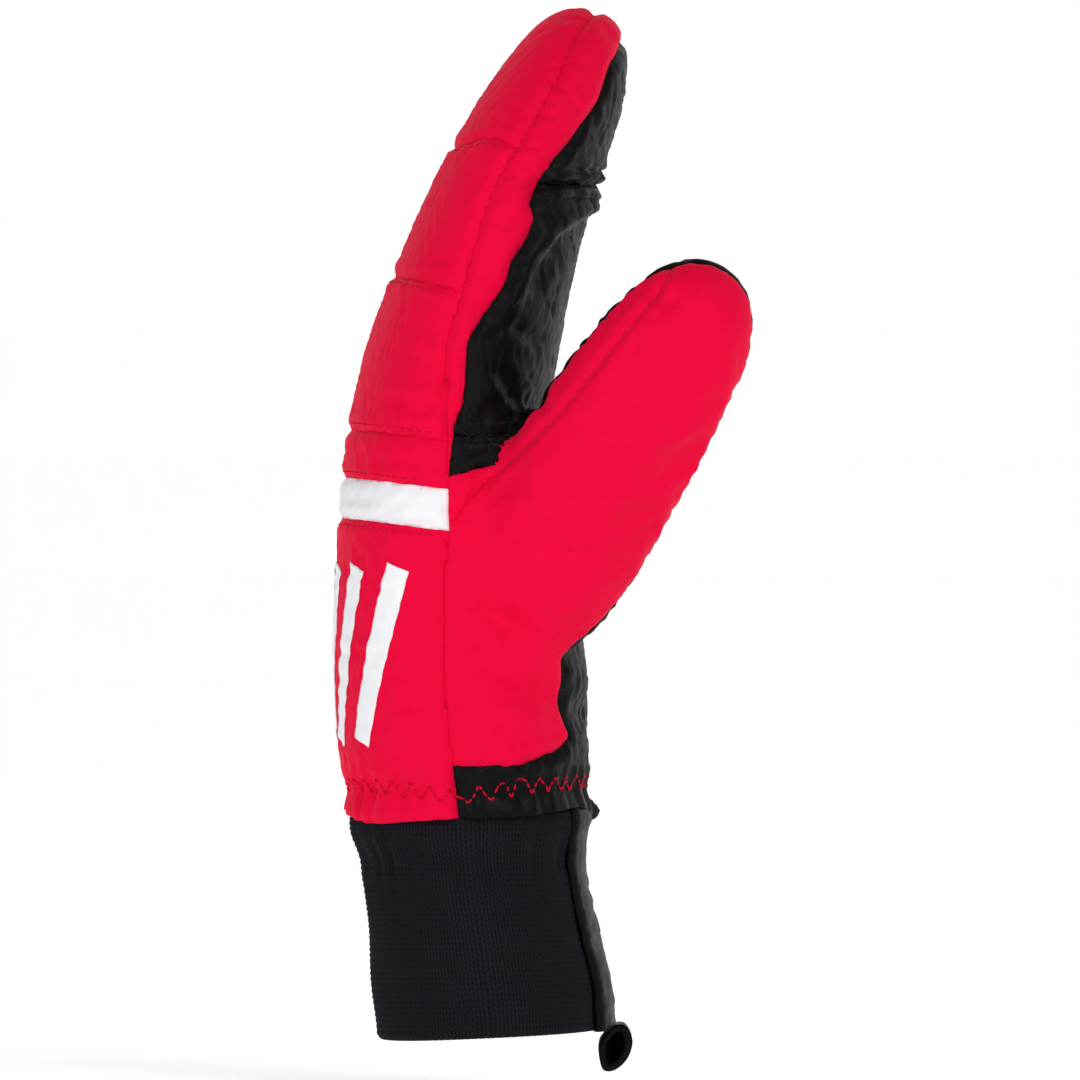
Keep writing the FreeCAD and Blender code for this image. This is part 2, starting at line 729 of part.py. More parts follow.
under_label = hand_pocket("pocket_under_label", tuple(f"({w} + sizes.label_wall)" for w in UNDER_LINING))
label_sheet = cut("label_sheet", pocket["under_lining"], under_label)
label_zone = block(
    "label_zone",
    -REACH,
    "-sizes.label_width / 2",
    "sizes.knit_tuck - sizes.hem_drop + 6",
    REACH,
    "sizes.label_width",
    "sizes.label_length",
)
part(common("label", label_sheet, label_zone), "care_label")

# --- Checks and export -------------------------------------------------------------------------

doc.recompute()
for thing in doc.Objects:
    if "Invalid" in thing.State or "Error" in thing.State:
        raise RuntimeError(f"{thing.Name} failed: {thing.State}")
os.makedirs("parts", exist_ok=True)
for piece in parts:
    shape = piece.Shape
    if shape.isNull() or not shape.isValid() or not shape.Solids:
        raise RuntimeError(f"{piece.Label} has no valid solid")
    shape.exportStep(f"parts/{piece.Label}.step")
    print(f"{piece.Label:26s} {len(shape.Solids)} solid(s) {shape.Volume / 1000:8.2f} cm3")
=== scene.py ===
# %% [markdown]
# # A ski mitten, sewn from its panels
#
# The mitten is padded, so nothing on it is flat and nothing is quite regular. It is made here in
# the order that it is really made: first the filled shape of hand and thumb, then the seams that
# part it into panels, then what sewing does to the panels, and last the knit, the leather strip,
# the pull tab and the stitches. The frame is the one of the CAD model: +Z to the fingertips,
# +X out of the palm, and the thumb on the -Y side.

# %% The frame
import math

import bmesh
import bpy
import numpy as np
from mathutils import Matrix, Vector, noise
from mathutils.bvhtree import BVHTree
from mathutils.kdtree import KDTree


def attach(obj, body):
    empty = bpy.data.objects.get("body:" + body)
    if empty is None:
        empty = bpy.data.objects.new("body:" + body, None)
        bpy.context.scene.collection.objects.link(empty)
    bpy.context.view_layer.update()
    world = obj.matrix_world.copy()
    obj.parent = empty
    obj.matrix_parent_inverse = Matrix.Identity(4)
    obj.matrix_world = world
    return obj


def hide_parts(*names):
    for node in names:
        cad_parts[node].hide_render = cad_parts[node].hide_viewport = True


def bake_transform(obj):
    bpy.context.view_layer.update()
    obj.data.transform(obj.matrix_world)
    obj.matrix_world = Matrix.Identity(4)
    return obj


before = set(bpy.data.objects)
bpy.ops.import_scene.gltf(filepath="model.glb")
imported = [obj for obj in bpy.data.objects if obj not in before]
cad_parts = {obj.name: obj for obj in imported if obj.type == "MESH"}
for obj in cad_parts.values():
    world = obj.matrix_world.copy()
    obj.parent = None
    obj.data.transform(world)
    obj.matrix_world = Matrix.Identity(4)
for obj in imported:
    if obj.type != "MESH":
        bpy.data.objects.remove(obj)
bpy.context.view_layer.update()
MM = 0.001
print("nodes in the frame:", len(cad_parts))

# %% [markdown]
# ## The outlines
#
# A mitten's shape is easiest to say as a row of ovals from the wrist up: how far each one reaches
# to the back, the palm, the thumb side and the little-finger side. Between two ovals the outline
# runs on smoothly, so the same few numbers give as many rings as are wanted. All of them are in
# millimetres.

# %% Outlines as smooth curves
HAND = np.array(
    [
        # height, back, palm, thumb side, little-finger side
        (-13, -36.5, 27.0, -37.5, 38.5),
        (0, -38.4, 27.8, -39.5, 40.5),
        (14, -40.2, 27.2, -42, 43),
        (39, -41.3, 26.0, -45, 46),
        (66, -40.3, 20.0, -48, 49),
        (96, -37.6, 16.5, -49, 50),
        (120, -32.4, 19.7, -48.5, 49.5),
        (141, -24.6, 24.0, -47, 48),
        (163, -15.0, 29.6, -43.5, 44.5),
        (179, -6.4, 35.0, -38, 39),
        (190, 0.3, 37.6, -32, 33),
        (200, 7.8, 37.4, -24, 25),
        (206.5, 14.2, 35.2, -15.5, 16.5),
        (210.6, 21.0, 30.0, -6, 7),
    ]
)
THUMB = np.array(
    [
        # distance along the thumb, half its width, half its thickness
        (-22, 19, 15),
        (0, 24, 19),
        (25, 23.6, 20.5),
        (50, 21.6, 19.5),
        (72, 19.2, 17.5),
        (85, 15.4, 14.4),
        (92, 10.6, 10.0),
        (96, 4.2, 4.0),
    ]
)
ROOT = np.array([13.8, -32.0, 62.3])
LEAN, HEADING = math.radians(37.5), math.radians(32.7)
TURN = Matrix.Rotation(LEAN, 3, Vector((math.sin(HEADING), math.cos(HEADING), 0)))
ACROSS, THROUGH, ALONG = (np.array(TURN.col[i]) for i in range(3))


def smooth_rows(rows, steps):
    """More rows through the given ones, on a Catmull-Rom curve."""
    ends = np.vstack([2 * rows[0] - rows[1], rows, 2 * rows[-1] - rows[-2]])
    out = []
    for a, b, c, d in zip(ends, ends[1:], ends[2:], ends[3:]):
        square, cube = 2 * a - 5 * b + 4 * c - d, 3 * b - a - 3 * c + d
        for t in np.arange(steps) / steps:
            out.append(0.5 * (2 * b + (c - a) * t + square * t**2 + cube * t**3))
    return np.array(out + [rows[-1]])


HAND_ROWS = smooth_rows(HAND, 6)
THUMB_ROWS = smooth_rows(THUMB, 6)
print("rings:", len(HAND_ROWS), "for the hand,", len(THUMB_ROWS), "for the thumb")

# %% [markdown]
# ## The filled shape
#
# Each outline becomes a ring of points, the rings are bridged, and the ends are closed. Hand and
# thumb are two closed bodies that run into each other. A voxel remesh turns them into one skin of
# even, square faces, which is what cloth needs. The sharp inner corner between thumb and hand is
# then smoothed, because a padded seam never folds to a point.


# %% Rings, bridged and closed
def tube_of_rings(bm, rings):
    """Bridges closed rings of points, given as arrays, and closes both ends."""
    loops = []
    for points in rings:
        made = bmesh.ops.create_circle(bm, cap_ends=False, segments=len(points), radius=1)["verts"]
        for v, p in zip(made, points):
            v.co = p
        loops.append(list({e for v in made for e in v.link_edges}))
    for low, high in zip(loops, loops[1:]):
        bmesh.ops.bridge_loops(bm, edges=low + high)
    for end in (loops[0], loops[-1]):
        bmesh.ops.contextual_create(bm, geom=end)


ANGLES = np.linspace(0, 2 * math.pi, 72, endpoint=False)
FULLNESS = 2.25  # 2 would be an ellipse; a filled pocket is a little squarer


def oval(half_x, half_y):
    """Points round an oval that is a little squarer than an ellipse."""
    c, s = np.cos(ANGLES), np.sin(ANGLES)
    return (
        half_x * np.sign(c) * np.abs(c) ** (2 / FULLNESS),
        half_y * np.sign(s) * np.abs(s) ** (2 / FULLNESS),
    )


def hand_ring(row):
    """One ring round the hand pocket, from a row of HAND."""
    z, back, palm, near, far = row
    x, y = oval((palm - back) / 2, (far - near) / 2)
    return np.stack([x + (palm + back) / 2, y + (near + far) / 2, np.full_like(x, z)], 1)


def thumb_ring(row):
    """One ring round the thumb, from a row of THUMB."""
    t, half_width, half_thick = row
    x, y = oval(half_width, half_thick)
    return ROOT + t * ALONG + np.outer(x, ACROSS) + np.outer(y, THROUGH)


filled = bmesh.new()
tube_of_rings(filled, [hand_ring(r) for r in HAND_ROWS])
tube_of_rings(filled, [thumb_ring(r) for r in THUMB_ROWS])
bmesh.ops.recalc_face_normals(filled, faces=filled.faces)
bmesh.ops.scale(filled, vec=(MM, MM, MM), verts=filled.verts)


# %% One even skin
def applied(obj):
    """The object's mesh with its modifiers applied. The object itself is removed."""
    bpy.context.view_layer.update()
    shown = obj.evaluated_get(bpy.context.evaluated_depsgraph_get())
    mesh = bpy.data.meshes.new_from_object(shown)
    bpy.data.objects.remove(obj)
    return mesh


def as_object(bm, name):
    """A bmesh as an object in the scene. The bmesh itself is freed."""
    mesh = bpy.data.meshes.new(name)
    bm.to_mesh(mesh)
    bm.free()
    obj = bpy.data.objects.new(name, mesh)
    bpy.context.scene.collection.objects.link(obj)
    return obj


def smoothed(bm, times=1):
    """Moves every point half of the way to the middle of its neighbours."""
    for _ in range(times):
        bmesh.ops.smooth_vert(
            bm, verts=bm.verts, factor=0.5, use_axis_x=True, use_axis_y=True, use_axis_z=True
        )


SKIN_SQUARE = 2.4 * MM  # the side of the skin's squares
skin_object = as_object(filled, "filled")
remesh = skin_object.modifiers.new("even", "REMESH")
remesh.mode, remesh.voxel_size, remesh.adaptivity = "VOXEL", SKIN_SQUARE, 0
skin = bmesh.new()
skin.from_mesh(applied(skin_object))
smoothed(skin, 2)
print("skin:", len(skin.verts), "points")

# %% [markdown]
# ## Where each point is
#
# A few numbers say everything about a point on the skin: whether it is on the thumb or the hand,
# how far along and across the thumb it is, and on which side of each seam. They are always worked
# out from the point's place before the cloth moved, so that a seam stays one straight sewn line
# however the panels puff and fold.

# %% Hand, thumb and seams as numbers
ROWS_Z = HAND_ROWS[:, 0]


def over_hand(p):
    """1 on the hand pocket's surface, less inside it, more outside, such as on the thumb."""
    back, palm, near, far = (np.interp(p[:, 2], ROWS_Z, HAND_ROWS[:, i]) for i in range(1, 5))
    x = np.abs(2 * p[:, 0] - back - palm) / (palm - back)
    y = np.abs(2 * p[:, 1] - near - far) / (far - near)
    return x**FULLNESS + y**FULLNESS


def on_thumb(p):
    """Distance along the thumb, across it and through it."""
    d = p - ROOT
    return d @ ALONG, d @ ACROSS, d @ THROUGH


def curve(*points):
    """X along a seam, from its height, in the side view."""
    zs, xs = zip(*sorted((z, x) for x, z in points))
    rows = smooth_rows(np.array([zs, xs], float).T, 8)
    return lambda z: np.interp(z, rows[:, 0], rows[:, 1])


# fmt: off
back_seam = curve(
    (-6.8, -12), (-8.1, -1.5), (-9.4, 10.3), (-11.1, 26.2), (-11.4, 42), (-11.1, 57.8),
    (-10.0, 69.7), (-10.2, 84.8), (-10.0, 93), (-10.5, 101), (-10.8, 110), (-10.6, 119.9),
    (-7.2, 131.5), (-2.7, 148.2), (1.6, 160.7), (6.5, 169.8), (10.3, 175.8), (18.1, 189.5),
    (23.2, 201.1), (28.4, 209.0), (33, 214),
)
leather_seam = curve(
    (-10.3, 84.2), (-9.7, 87.8), (-8.4, 98.6), (-6.2, 104), (-5.4, 114.8), (-5.0, 120.2),
    (-1.9, 125.6), (1.9, 131), (5.1, 136.4), (7.0, 141.8), (10.5, 147.2), (12.7, 152.6),
    (12.7, 158), (14.6, 163.4), (18.1, 168.8), (22.8, 174.2), (26.5, 179.6), (30.2, 185),
    (32.1, 190.4), (34.0, 195.8), (36.2, 199.8), (37.5, 206), (38, 214),
)
little_seam = curve(
    (6, -12), (3, 14), (1.5, 45), (1.5, 80), (1.5, 100), (2.5, 120), (6.5, 136), (12, 150),
    (18, 166), (26.5, 181), (32, 192), (36.5, 201), (38, 214),
)
# The front strip's seam, as distance along and across the thumb, and the red panel's foot, as X
# and height.
STRIP_SEAM = np.array(
    [(-40, -29), (2.2, -26), (15.8, -23.5), (44.5, -17.9), (89.8, -12.7), (110, -10)]
)
FOOT_LINE = np.array(
    [
        (-60, 6.8), (-8, 6.8), (8.9, 6.9), (19.7, 11.3), (25.9, 18.4), (29.2, 24.3), (36, 40),
        (60, 60),
    ]
)
# fmt: on

# Cross seams: height, the X it is given at, and how much it rises for each step of X.
FINGERTIP_SEAM = (173.0, -6.0, -0.05)
MIDDLE_SEAM = (136.5, -17.0, -0.26)
KNUCKLE_SEAM = (95.6, -24.0, -0.13)
STRIPE_TOP, STRIPE_FOOT = (82.6, -24.0, -0.12), (71.6, -24.0, -0.12)
GATHER, KNUCKLE = (162.5, 22.0, 0), (95.5, 10.0, 0)  # on the palm
THUMB_SPAN = (20, 150)  # heights between which the thumb is
CROTCH, CROTCH_RISE = (-9.2, 84.6), 0.27


def level(p, seam):
    """Height over a cross seam that slopes with X."""
    height, at_x, slope = seam
    return p[:, 2] - (height + slope * (p[:, 0] - at_x))


def tip_line(p):
    """The fingertip seam peaks a little behind the side seam and dips to it."""
    peak = 2.6 * np.exp(-(((p[:, 0] - back_seam(p[:, 2]) + 9) / 6) ** 2))
    return level(p, FINGERTIP_SEAM) - peak


def hem_line(p):
    """The hem's height round the wrist: it waves a little and dips between back and thumb."""
    turn = np.arctan2(p[:, 1], p[:, 0] + 5.5)
    return -6.4 - 1.7 * np.cos(2 * (turn + 2.15)) - 0.5 * np.sin(5 * turn + 1)


def over_foot(p):
    """Above 0 under the foot of the red thumb panel, where the heel's leather is."""
    return np.interp(p[:, 0], FOOT_LINE[:, 0], FOOT_LINE[:, 1]) - p[:, 2]


def black_side(p):
    """Above 0 where the thumb and the heel are leather: the thumb's inner half, and low down."""
    along, _, through = on_thumb(p)
    edge = np.interp(along, [-30, 0, 20, 60, 96], [-7, -5, -1.5, 1.5, 2])
    return np.maximum(through - edge, over_foot(p))


def strip_side(p):
    """Below 0 on the thumb's front strip."""
    along, across, _ = on_thumb(p)
    return across - np.interp(along, STRIP_SEAM[:, 0], STRIP_SEAM[:, 1])


def crotch_line(p):
    """Height over the seam where the thumb's panel meets the finger gusset."""
    return p[:, 2] - (CROTCH[1] + CROTCH_RISE * (p[:, 0] - CROTCH[0]))


def away_from_back(p):
    """How far towards the palm from the back panels' side seam."""
    return p[:, 0] - back_seam(p[:, 2])


THUMB_EDGE = 1.10  # how far outside the hand pocket the thumb's own panels start


def thumb_edge(p):
    return over_hand(p) - THUMB_EDGE


def in_thumb_span(p):
    return (p[:, 2] > THUMB_SPAN[0]) & (p[:, 2] < THUMB_SPAN[1])


def panel_of(p):
    """The panel each point is on, from its place."""
    names = np.full(len(p), "palm_heel_leather", dtype=object)
    away, near = away_from_back(p), p[:, 1] < 0
    back = away < 0
    thumb = (over_hand(p) > THUMB_EDGE) & in_thumb_span(p)
    side = ~back & ~thumb
    leather = np.where(near, p[:, 0] > leather_seam(p[:, 2]), p[:, 0] > little_seam(p[:, 2]))
    names[side & (level(p, KNUCKLE) > 0)] = "palm_finger_leather"
    names[side & (level(p, GATHER) > 0)] = "palm_fingertip_leather"
    above_crotch = crotch_line(p) > 0
    names[side & near & above_crotch & ~leather] = "thumb_side_gusset"
    names[side & ~near & ~leather] = "little_finger_gusset"
    red = (thumb | (side & near & ~above_crotch)) & (black_side(p) < 0)
    names[thumb & ~red] = "thumb_palm_leather"
    names[red] = "thumb_outer_panel"
    names[red & (strip_side(p) < 0)] = "thumb_front_strip"
    names[back] = "back_lower_panel"
    names[back & (level(p, STRIPE_FOOT) > 0)] = "white_stripe"
    names[back & (level(p, STRIPE_TOP) > 0)] = "knuckle_band"
    names[back & (level(p, KNUCKLE_SEAM) > 0)] = "back_middle_panel"
    names[back & (level(p, MIDDLE_SEAM) > 0)] = "back_upper_panel"
    names[back & (tip_line(p) > 0)] = "back_fingertip_panel"
    return names


# %% [markdown]
# ## Filling the panels
#
# Pressure from inside puffs each panel between its seams, as the wadding does. The seams are
# pinned, so they stay where they were sewn and show as valleys. The movement is capped, which
# keeps the outline, and the fabric is cut a little large, so it wrinkles where it has to.


# %% Cloth
BACK_SEAMS = (STRIPE_FOOT, STRIPE_TOP, KNUCKLE_SEAM, MIDDLE_SEAM)
FAR = 99  # stands for no seam near
OVER_CROTCH = 84  # a height; the thumb side is one red panel below it
POCKET_HALF = 22  # turns a share of the pocket's half width into millimetres, about


def place_array(verts):
    """The points' places in millimetres."""
    return np.array([v.co for v in verts]) / MM


rest_layer = skin.verts.layers.float_vector.new("rest")
for v in skin.verts:
    v[rest_layer] = v.co / MM
rest = place_array(skin.verts)


def seam_nearness(p, reach):
    """1 on a seam, falling to 0 at the given distance."""
    away, near = away_from_back(p), p[:, 1] < 0
    back = away < 0
    thumb = over_hand(p) > THUMB_EDGE
    gap = np.abs(away)
    cross = [np.abs(level(p, seam)) for seam in BACK_SEAMS] + [np.abs(tip_line(p))]
    gap = np.minimum(gap, np.where(back, np.min(cross, 0), FAR))
    side = np.abs(p[:, 0] - np.where(near, leather_seam(p[:, 2]), little_seam(p[:, 2])))
    has_side_seam = ~back & ~thumb & ((p[:, 2] > OVER_CROTCH) | ~near)
    gap = np.minimum(gap, np.where(has_side_seam, side, FAR))
    palm = np.minimum(np.abs(level(p, GATHER)), np.abs(level(p, KNUCKLE)))
    gap = np.minimum(gap, np.where(~back & ~thumb & (p[:, 0] > 0), palm, FAR))
    low = near & ~back & ((p[:, 2] < OVER_CROTCH) | thumb)
    gap = np.minimum(gap, np.where(low, np.abs(black_side(p)), FAR))
    gap = np.minimum(gap, np.where(low & (black_side(p) < 0), np.abs(strip_side(p)), FAR))
    gap = np.minimum(gap, np.abs(thumb_edge(p)) * POCKET_HALF)
    gap = np.minimum(gap, np.clip(p[:, 2] - 2, 0, None))
    return np.clip(1 - gap / reach, 0, 1)


CAP = 2.6  # the furthest that a point may move
SEAM_REACH = 3.2  # how far from a seam the cloth is still held
LAST_FRAME = 20
skin_object = as_object(skin, "skin")
group = skin_object.vertex_groups.new(name="seams")
for i, weight in enumerate(seam_nearness(rest, SEAM_REACH)):
    if weight > 0.02:
        group.add([i], float(weight) ** 0.7, "REPLACE")
cloth = skin_object.modifiers.new("cloth", "CLOTH")
settings = cloth.settings
settings.quality = 6
settings.mass = 0.25
settings.tension_stiffness = settings.compression_stiffness = 12
settings.shear_stiffness = 4
settings.bending_stiffness = 0.6
settings.use_pressure = True
settings.uniform_pressure_force = 4
settings.shrink_min = -0.03
settings.vertex_group_mass = "seams"
settings.effector_weights.gravity = 0
cloth.point_cache.frame_start, cloth.point_cache.frame_end = 1, LAST_FRAME
for number in range(1, LAST_FRAME + 1):
    bpy.context.scene.frame_set(number)
puffed = applied(skin_object)
bpy.context.scene.frame_set(1)
skin_object = bpy.data.objects.new("puffed", puffed)
bpy.context.scene.collection.objects.link(skin_object)

skin = bmesh.new()
skin.from_mesh(skin_object.data)
bpy.data.objects.remove(skin_object)
rest_layer = skin.verts.layers.float_vector["rest"]
rest = np.array([v[rest_layer] for v in skin.verts])
moved = place_array(skin.verts) - rest
length = np.linalg.norm(moved, axis=1, keepdims=True) + 1e-9
moved *= np.minimum(1, CAP / length)
print("puffed by up to %.1f mm, %.2f mm on average" % (length.max(), length.mean()))
for v, p in zip(skin.verts, rest + moved):
    v.co = p

# %% [markdown]
# ## Cutting the panels
#
# A seam is cut through the skin where its number changes sign. The points are moved for a moment
# so that their X is that number, the bisect tool cuts at X = 0, and the points go back to where
# they were. So one tool for straight cuts makes every curved one.

# %% Finer skin, then the cuts
core = skin.copy()  # kept for the layers inside
bmesh.ops.subdivide_edges(skin, edges=skin.edges[:], cuts=1, use_grid_fill=True)
smoothed(skin)
keep_layer = skin.verts.layers.float_vector.new("keep")
seam_points = []
ON_SEAM = 0.02  # points nearer than this are moved off the cut, so that it leaves no slivers


def centres_of(bm, layer):
    """The middle of each face, from what the layer holds for its corners."""
    return np.array([np.mean([v[layer] for v in f.verts], axis=0) for f in bm.faces])


def cut_seam(number, where, record=True):
    """Cuts the faces whose centre passes where(p), along number(p) = 0."""
    inside = where(centres_of(skin, rest_layer))
    faces = [f for f, use in zip(skin.faces, inside) if use]
    if not faces:
        return
    verts = list({v for f in faces for v in f.verts})
    edges = list({e for f in faces for e in f.edges})
    values = number(np.array([v[rest_layer] for v in verts]))
    values[np.abs(values) < ON_SEAM] = ON_SEAM
    for v, value in zip(verts, values):
        v[keep_layer] = v.co
        v.co.x = value
    cut = bmesh.ops.bisect_plane(
        skin, geom=verts + edges + faces, dist=1e-5, plane_co=(0, 0, 0), plane_no=(1, 0, 0)
    )["geom_cut"]
    new = [g for g in cut if isinstance(g, bmesh.types.BMVert)]
    for v in set(verts) | set(new):
        v.co = v[keep_layer]
    if record:
        seam_points.extend((tuple(v.co), tuple(v[rest_layer])) for v in new)
    print("cut", getattr(number, "__name__", "seam"), len(new), "points")


def is_back(p):
    """The back panels."""
    return away_from_back(p) < 0


def is_side(p):
    """The sides and the palm, without the thumb."""
    return (away_from_back(p) > -0.5) & (over_hand(p) < THUMB_EDGE + 0.02)


def is_low_near(p):
    """The thumb, and the thumb side under it."""
    low = (crotch_line(p) < 0) | (over_hand(p) > THUMB_EDGE)
    return (p[:, 1] < 5) & (away_from_back(p) > 0) & low


def is_thumb_edge(p):
    """The red part of the edge where the thumb leaves the pocket."""
    return (p[:, 1] < 10) & in_thumb_span(p) & (away_from_back(p) > 0) & (black_side(p) > -1)


def leather_edge(p):
    return p[:, 0] - leather_seam(p[:, 2])


def little_edge(p):
    return p[:, 0] - little_seam(p[:, 2])


cut_seam(lambda p: p[:, 2] - hem_line(p), lambda p: p[:, 2] < 3, record=False)
middles = centres_of(skin, rest_layer)
under_hem = middles[:, 2] < hem_line(middles)
below = [f for f, use in zip(skin.faces, under_hem) if use]
bmesh.ops.delete(skin, geom=below, context="FACES")
cut_seam(away_from_back, lambda p: over_hand(p) < 1.3)
for seam in BACK_SEAMS:
    cut_seam(lambda p, seam=seam: level(p, seam), is_back)
cut_seam(tip_line, is_back)
cut_seam(thumb_edge, is_thumb_edge)
cut_seam(leather_edge, lambda p: is_side(p) & (p[:, 1] < 0) & (p[:, 2] > OVER_CROTCH))
cut_seam(little_edge, lambda p: is_side(p) & (p[:, 1] > 0))
cut_seam(lambda p: level(p, GATHER), lambda p: is_side(p) & (p[:, 0] > 10))
cut_seam(lambda p: level(p, KNUCKLE), lambda p: is_side(p) & (p[:, 0] > -10))
cut_seam(crotch_line, lambda p: is_side(p) & (p[:, 1] < 0) & (p[:, 0] < 20))
cut_seam(black_side, is_low_near)
cut_seam(strip_side, lambda p: is_low_near(p) & (black_side(p) < 0))
skin.faces.ensure_lookup_table()
print("cut skin:", len(skin.faces), "faces")

# %% [markdown]
# ## What sewing does to the panels
#
# Thread draws the fabric in, so the surface dips into every seam and puckers beside it. Leather
# creases deeper than the woven shell. The larger folds are set one by one where this mitten has
# them, and the rest comes from noise that runs along the mitten and not in dots.


# %% Relief
def field_noise(points, size, seed=0.0, stretch=(1, 1, 1), octaves=2):
    """Smooth noise from -1 to 1 at points in millimetres, with features of about that size."""
    scale, shift = np.array(stretch) / size, Vector((seed, seed * 1.7, -seed))
    return np.array(
        [noise.fractal(Vector(p * scale) + shift, 1.0, 2.0, octaves) for p in points]
    )


def bump_line(p, points, width):
    """1 along a line through points in the side view, falling off over the width."""
    best = np.full(len(p), 1e9)
    for (ax, az), (bx, bz) in zip(points, points[1:]):
        dx, dz = bx - ax, bz - az
        t = np.clip(((p[:, 0] - ax) * dx + (p[:, 2] - az) * dz) / (dx * dx + dz * dz), 0, 1)
        best = np.minimum(best, (p[:, 0] - ax - t * dx) ** 2 + (p[:, 2] - az - t * dz) ** 2)
    return np.exp(-best / width**2)


FOLD_DEPTH = 1.6  # all of the folds' heights are multiplied by it
# Each fold: the side it is on (-1 thumb side, 1 little-finger side), its line in the side view,
# its width and its height. A fold that goes in is below 0.
FOLDS = [
    (-1, [(-2.4, 50), (4, 47), (10.3, 45)], 2.6, -0.8),
    (-1, [(-2.4, 53.5), (8, 50.5)], 3.0, 0.4),
    (-1, [(-3, 35.5), (10, 30), (26, 21.5)], 4.2, -1.3),
    (-1, [(-2, 41), (12, 36), (24, 28)], 5.0, 0.8),
    (-1, [(0, 24), (12, 20)], 4.0, 0.5),
    (-1, [(44, 133), (49, 130.5)], 2.2, -0.7),
    (-1, [(-24, 104.5), (-18, 102.5), (-14, 104)], 2.0, -0.7),
    (-1, [(-25, 107.5), (-16, 106)], 2.8, 0.5),
    (-1, [(-12, 113), (-8, 104), (-9, 96)], 2.2, -0.6),
    (-1, [(11.6, 158), (13.5, 162)], 2.4, -0.9),
    (-1, [(3.5, 150), (9, 160)], 3.0, 0.5),
    (-1, [(29.7, 158.8), (18.6, 152), (11, 142), (6.2, 131.2)], 2.6, 1.7),
    (-1, [(28, 153), (20, 146), (14, 136)], 2.4, -1.3),
    (-1, [(-4, 121), (-2, 116), (0.5, 110)], 3.6, 1.3),
    (-1, [(9, 124), (13.5, 121)], 2.0, -0.9),
    (-1, [(2, 112), (8, 106), (14, 104)], 2.4, -0.9),
    (1, [(2, 48), (14, 43)], 3.0, -0.8),
    (1, [(-4, 88), (6, 93), (14, 95)], 3.0, -0.9),
    (1, [(22, 154), (13, 140), (10, 128)], 3.0, 1.2),
    (1, [(-26, 104), (-14, 101)], 2.4, -0.7),
    (1, [(0, 30), (16, 22)], 4.0, -0.9),
]

skin.normal_update()
rest = np.array([v[rest_layer] for v in skin.verts])
place = np.array([v.co for v in skin.verts])
normal = np.array([v.normal for v in skin.verts])
kind = panel_of(rest)
leather = np.array(["leather" in k for k in kind])
tree = KDTree(len(seam_points))
for i, (co, _) in enumerate(seam_points):
    tree.insert(co, i)
tree.balance()
to_seam = np.array([tree.find(p)[2] for p in place])

relief = -0.95 * np.exp(-((to_seam / 1.3) ** 2)) + 0.25 * np.exp(-(((to_seam - 3.2) / 1.6) ** 2))
ripple = field_noise(rest, 5.5, 3, octaves=1) * np.exp(-to_seam / 3.5)
relief += np.where(leather, 0.40, 0.17) * ripple
relief += np.where(leather, 0.45, 0.30) * field_noise(rest, 34, 11, (1, 1, 0.7), 1)
CREASE_WIDTH, CREASE_DEPTH = 0.12, 0.5
creases = np.clip(CREASE_WIDTH - np.abs(field_noise(rest, 13, 29, (1, 1, 0.55), 3)), 0, 1)
creased = leather & (field_noise(rest, 30, 41) > 0.0)
relief -= np.where(creased, CREASE_DEPTH, 0.0) * creases / CREASE_WIDTH
for side, line, width, height in FOLDS:
    near_side = np.clip((rest[:, 1] * side + 2) / 12, 0, 1)
    relief += FOLD_DEPTH * height * bump_line(rest, line, width) * near_side

# Rows of elastic shirring draw the leather in twice across the fingers and once at the knuckles.
turn = np.arctan2(rest[:, 1], rest[:, 0] - 5)
for height, rows, tall in ((GATHER[0], (-4.4, 0, 3.4), 5.5), (KNUCKLE[0], (-2.8, 1.2), 4.5)):
    on_palm = leather & (away_from_back(rest) > 5) & (over_hand(rest) < THUMB_EDGE)
    off = rest[:, 2] - height - 0.12 * (rest[:, 0] - 20)
    window = np.exp(-((off / tall) ** 4)) * on_palm
    pucker = 0.55 * np.sin(turn * 19 + 1.3 * np.sin(turn * 7)) + 0.3
    gather = 0.9 + pucker
    for row in rows:
        gather -= 1.9 * np.exp(-(((off - row) / 0.9) ** 2))
    relief += window * gather

# The elastic gathers the shell at the wrist.
wrist = np.exp(-(((rest[:, 2] - 0.5) / 3.2) ** 2))
around = np.arctan2(rest[:, 1], rest[:, 0] + 5.5)
folds = np.sin(around * 23 + 2.2 * np.sin(around * 5)) * 0.6 + np.sin(around * 41 + 1) * 0.3
low = np.exp(-(((rest[:, 2] + 1) / 7.5) ** 2))
relief += -1.4 * wrist + folds * low * 1.0
relief += 0.7 * np.exp(-(((rest[:, 2] + 6) / 2.5) ** 2))
for v, p in zip(skin.verts, place + normal * relief[:, None]):
    v.co = p
print("relief from %.1f to %.1f mm" % (relief.min(), relief.max()))
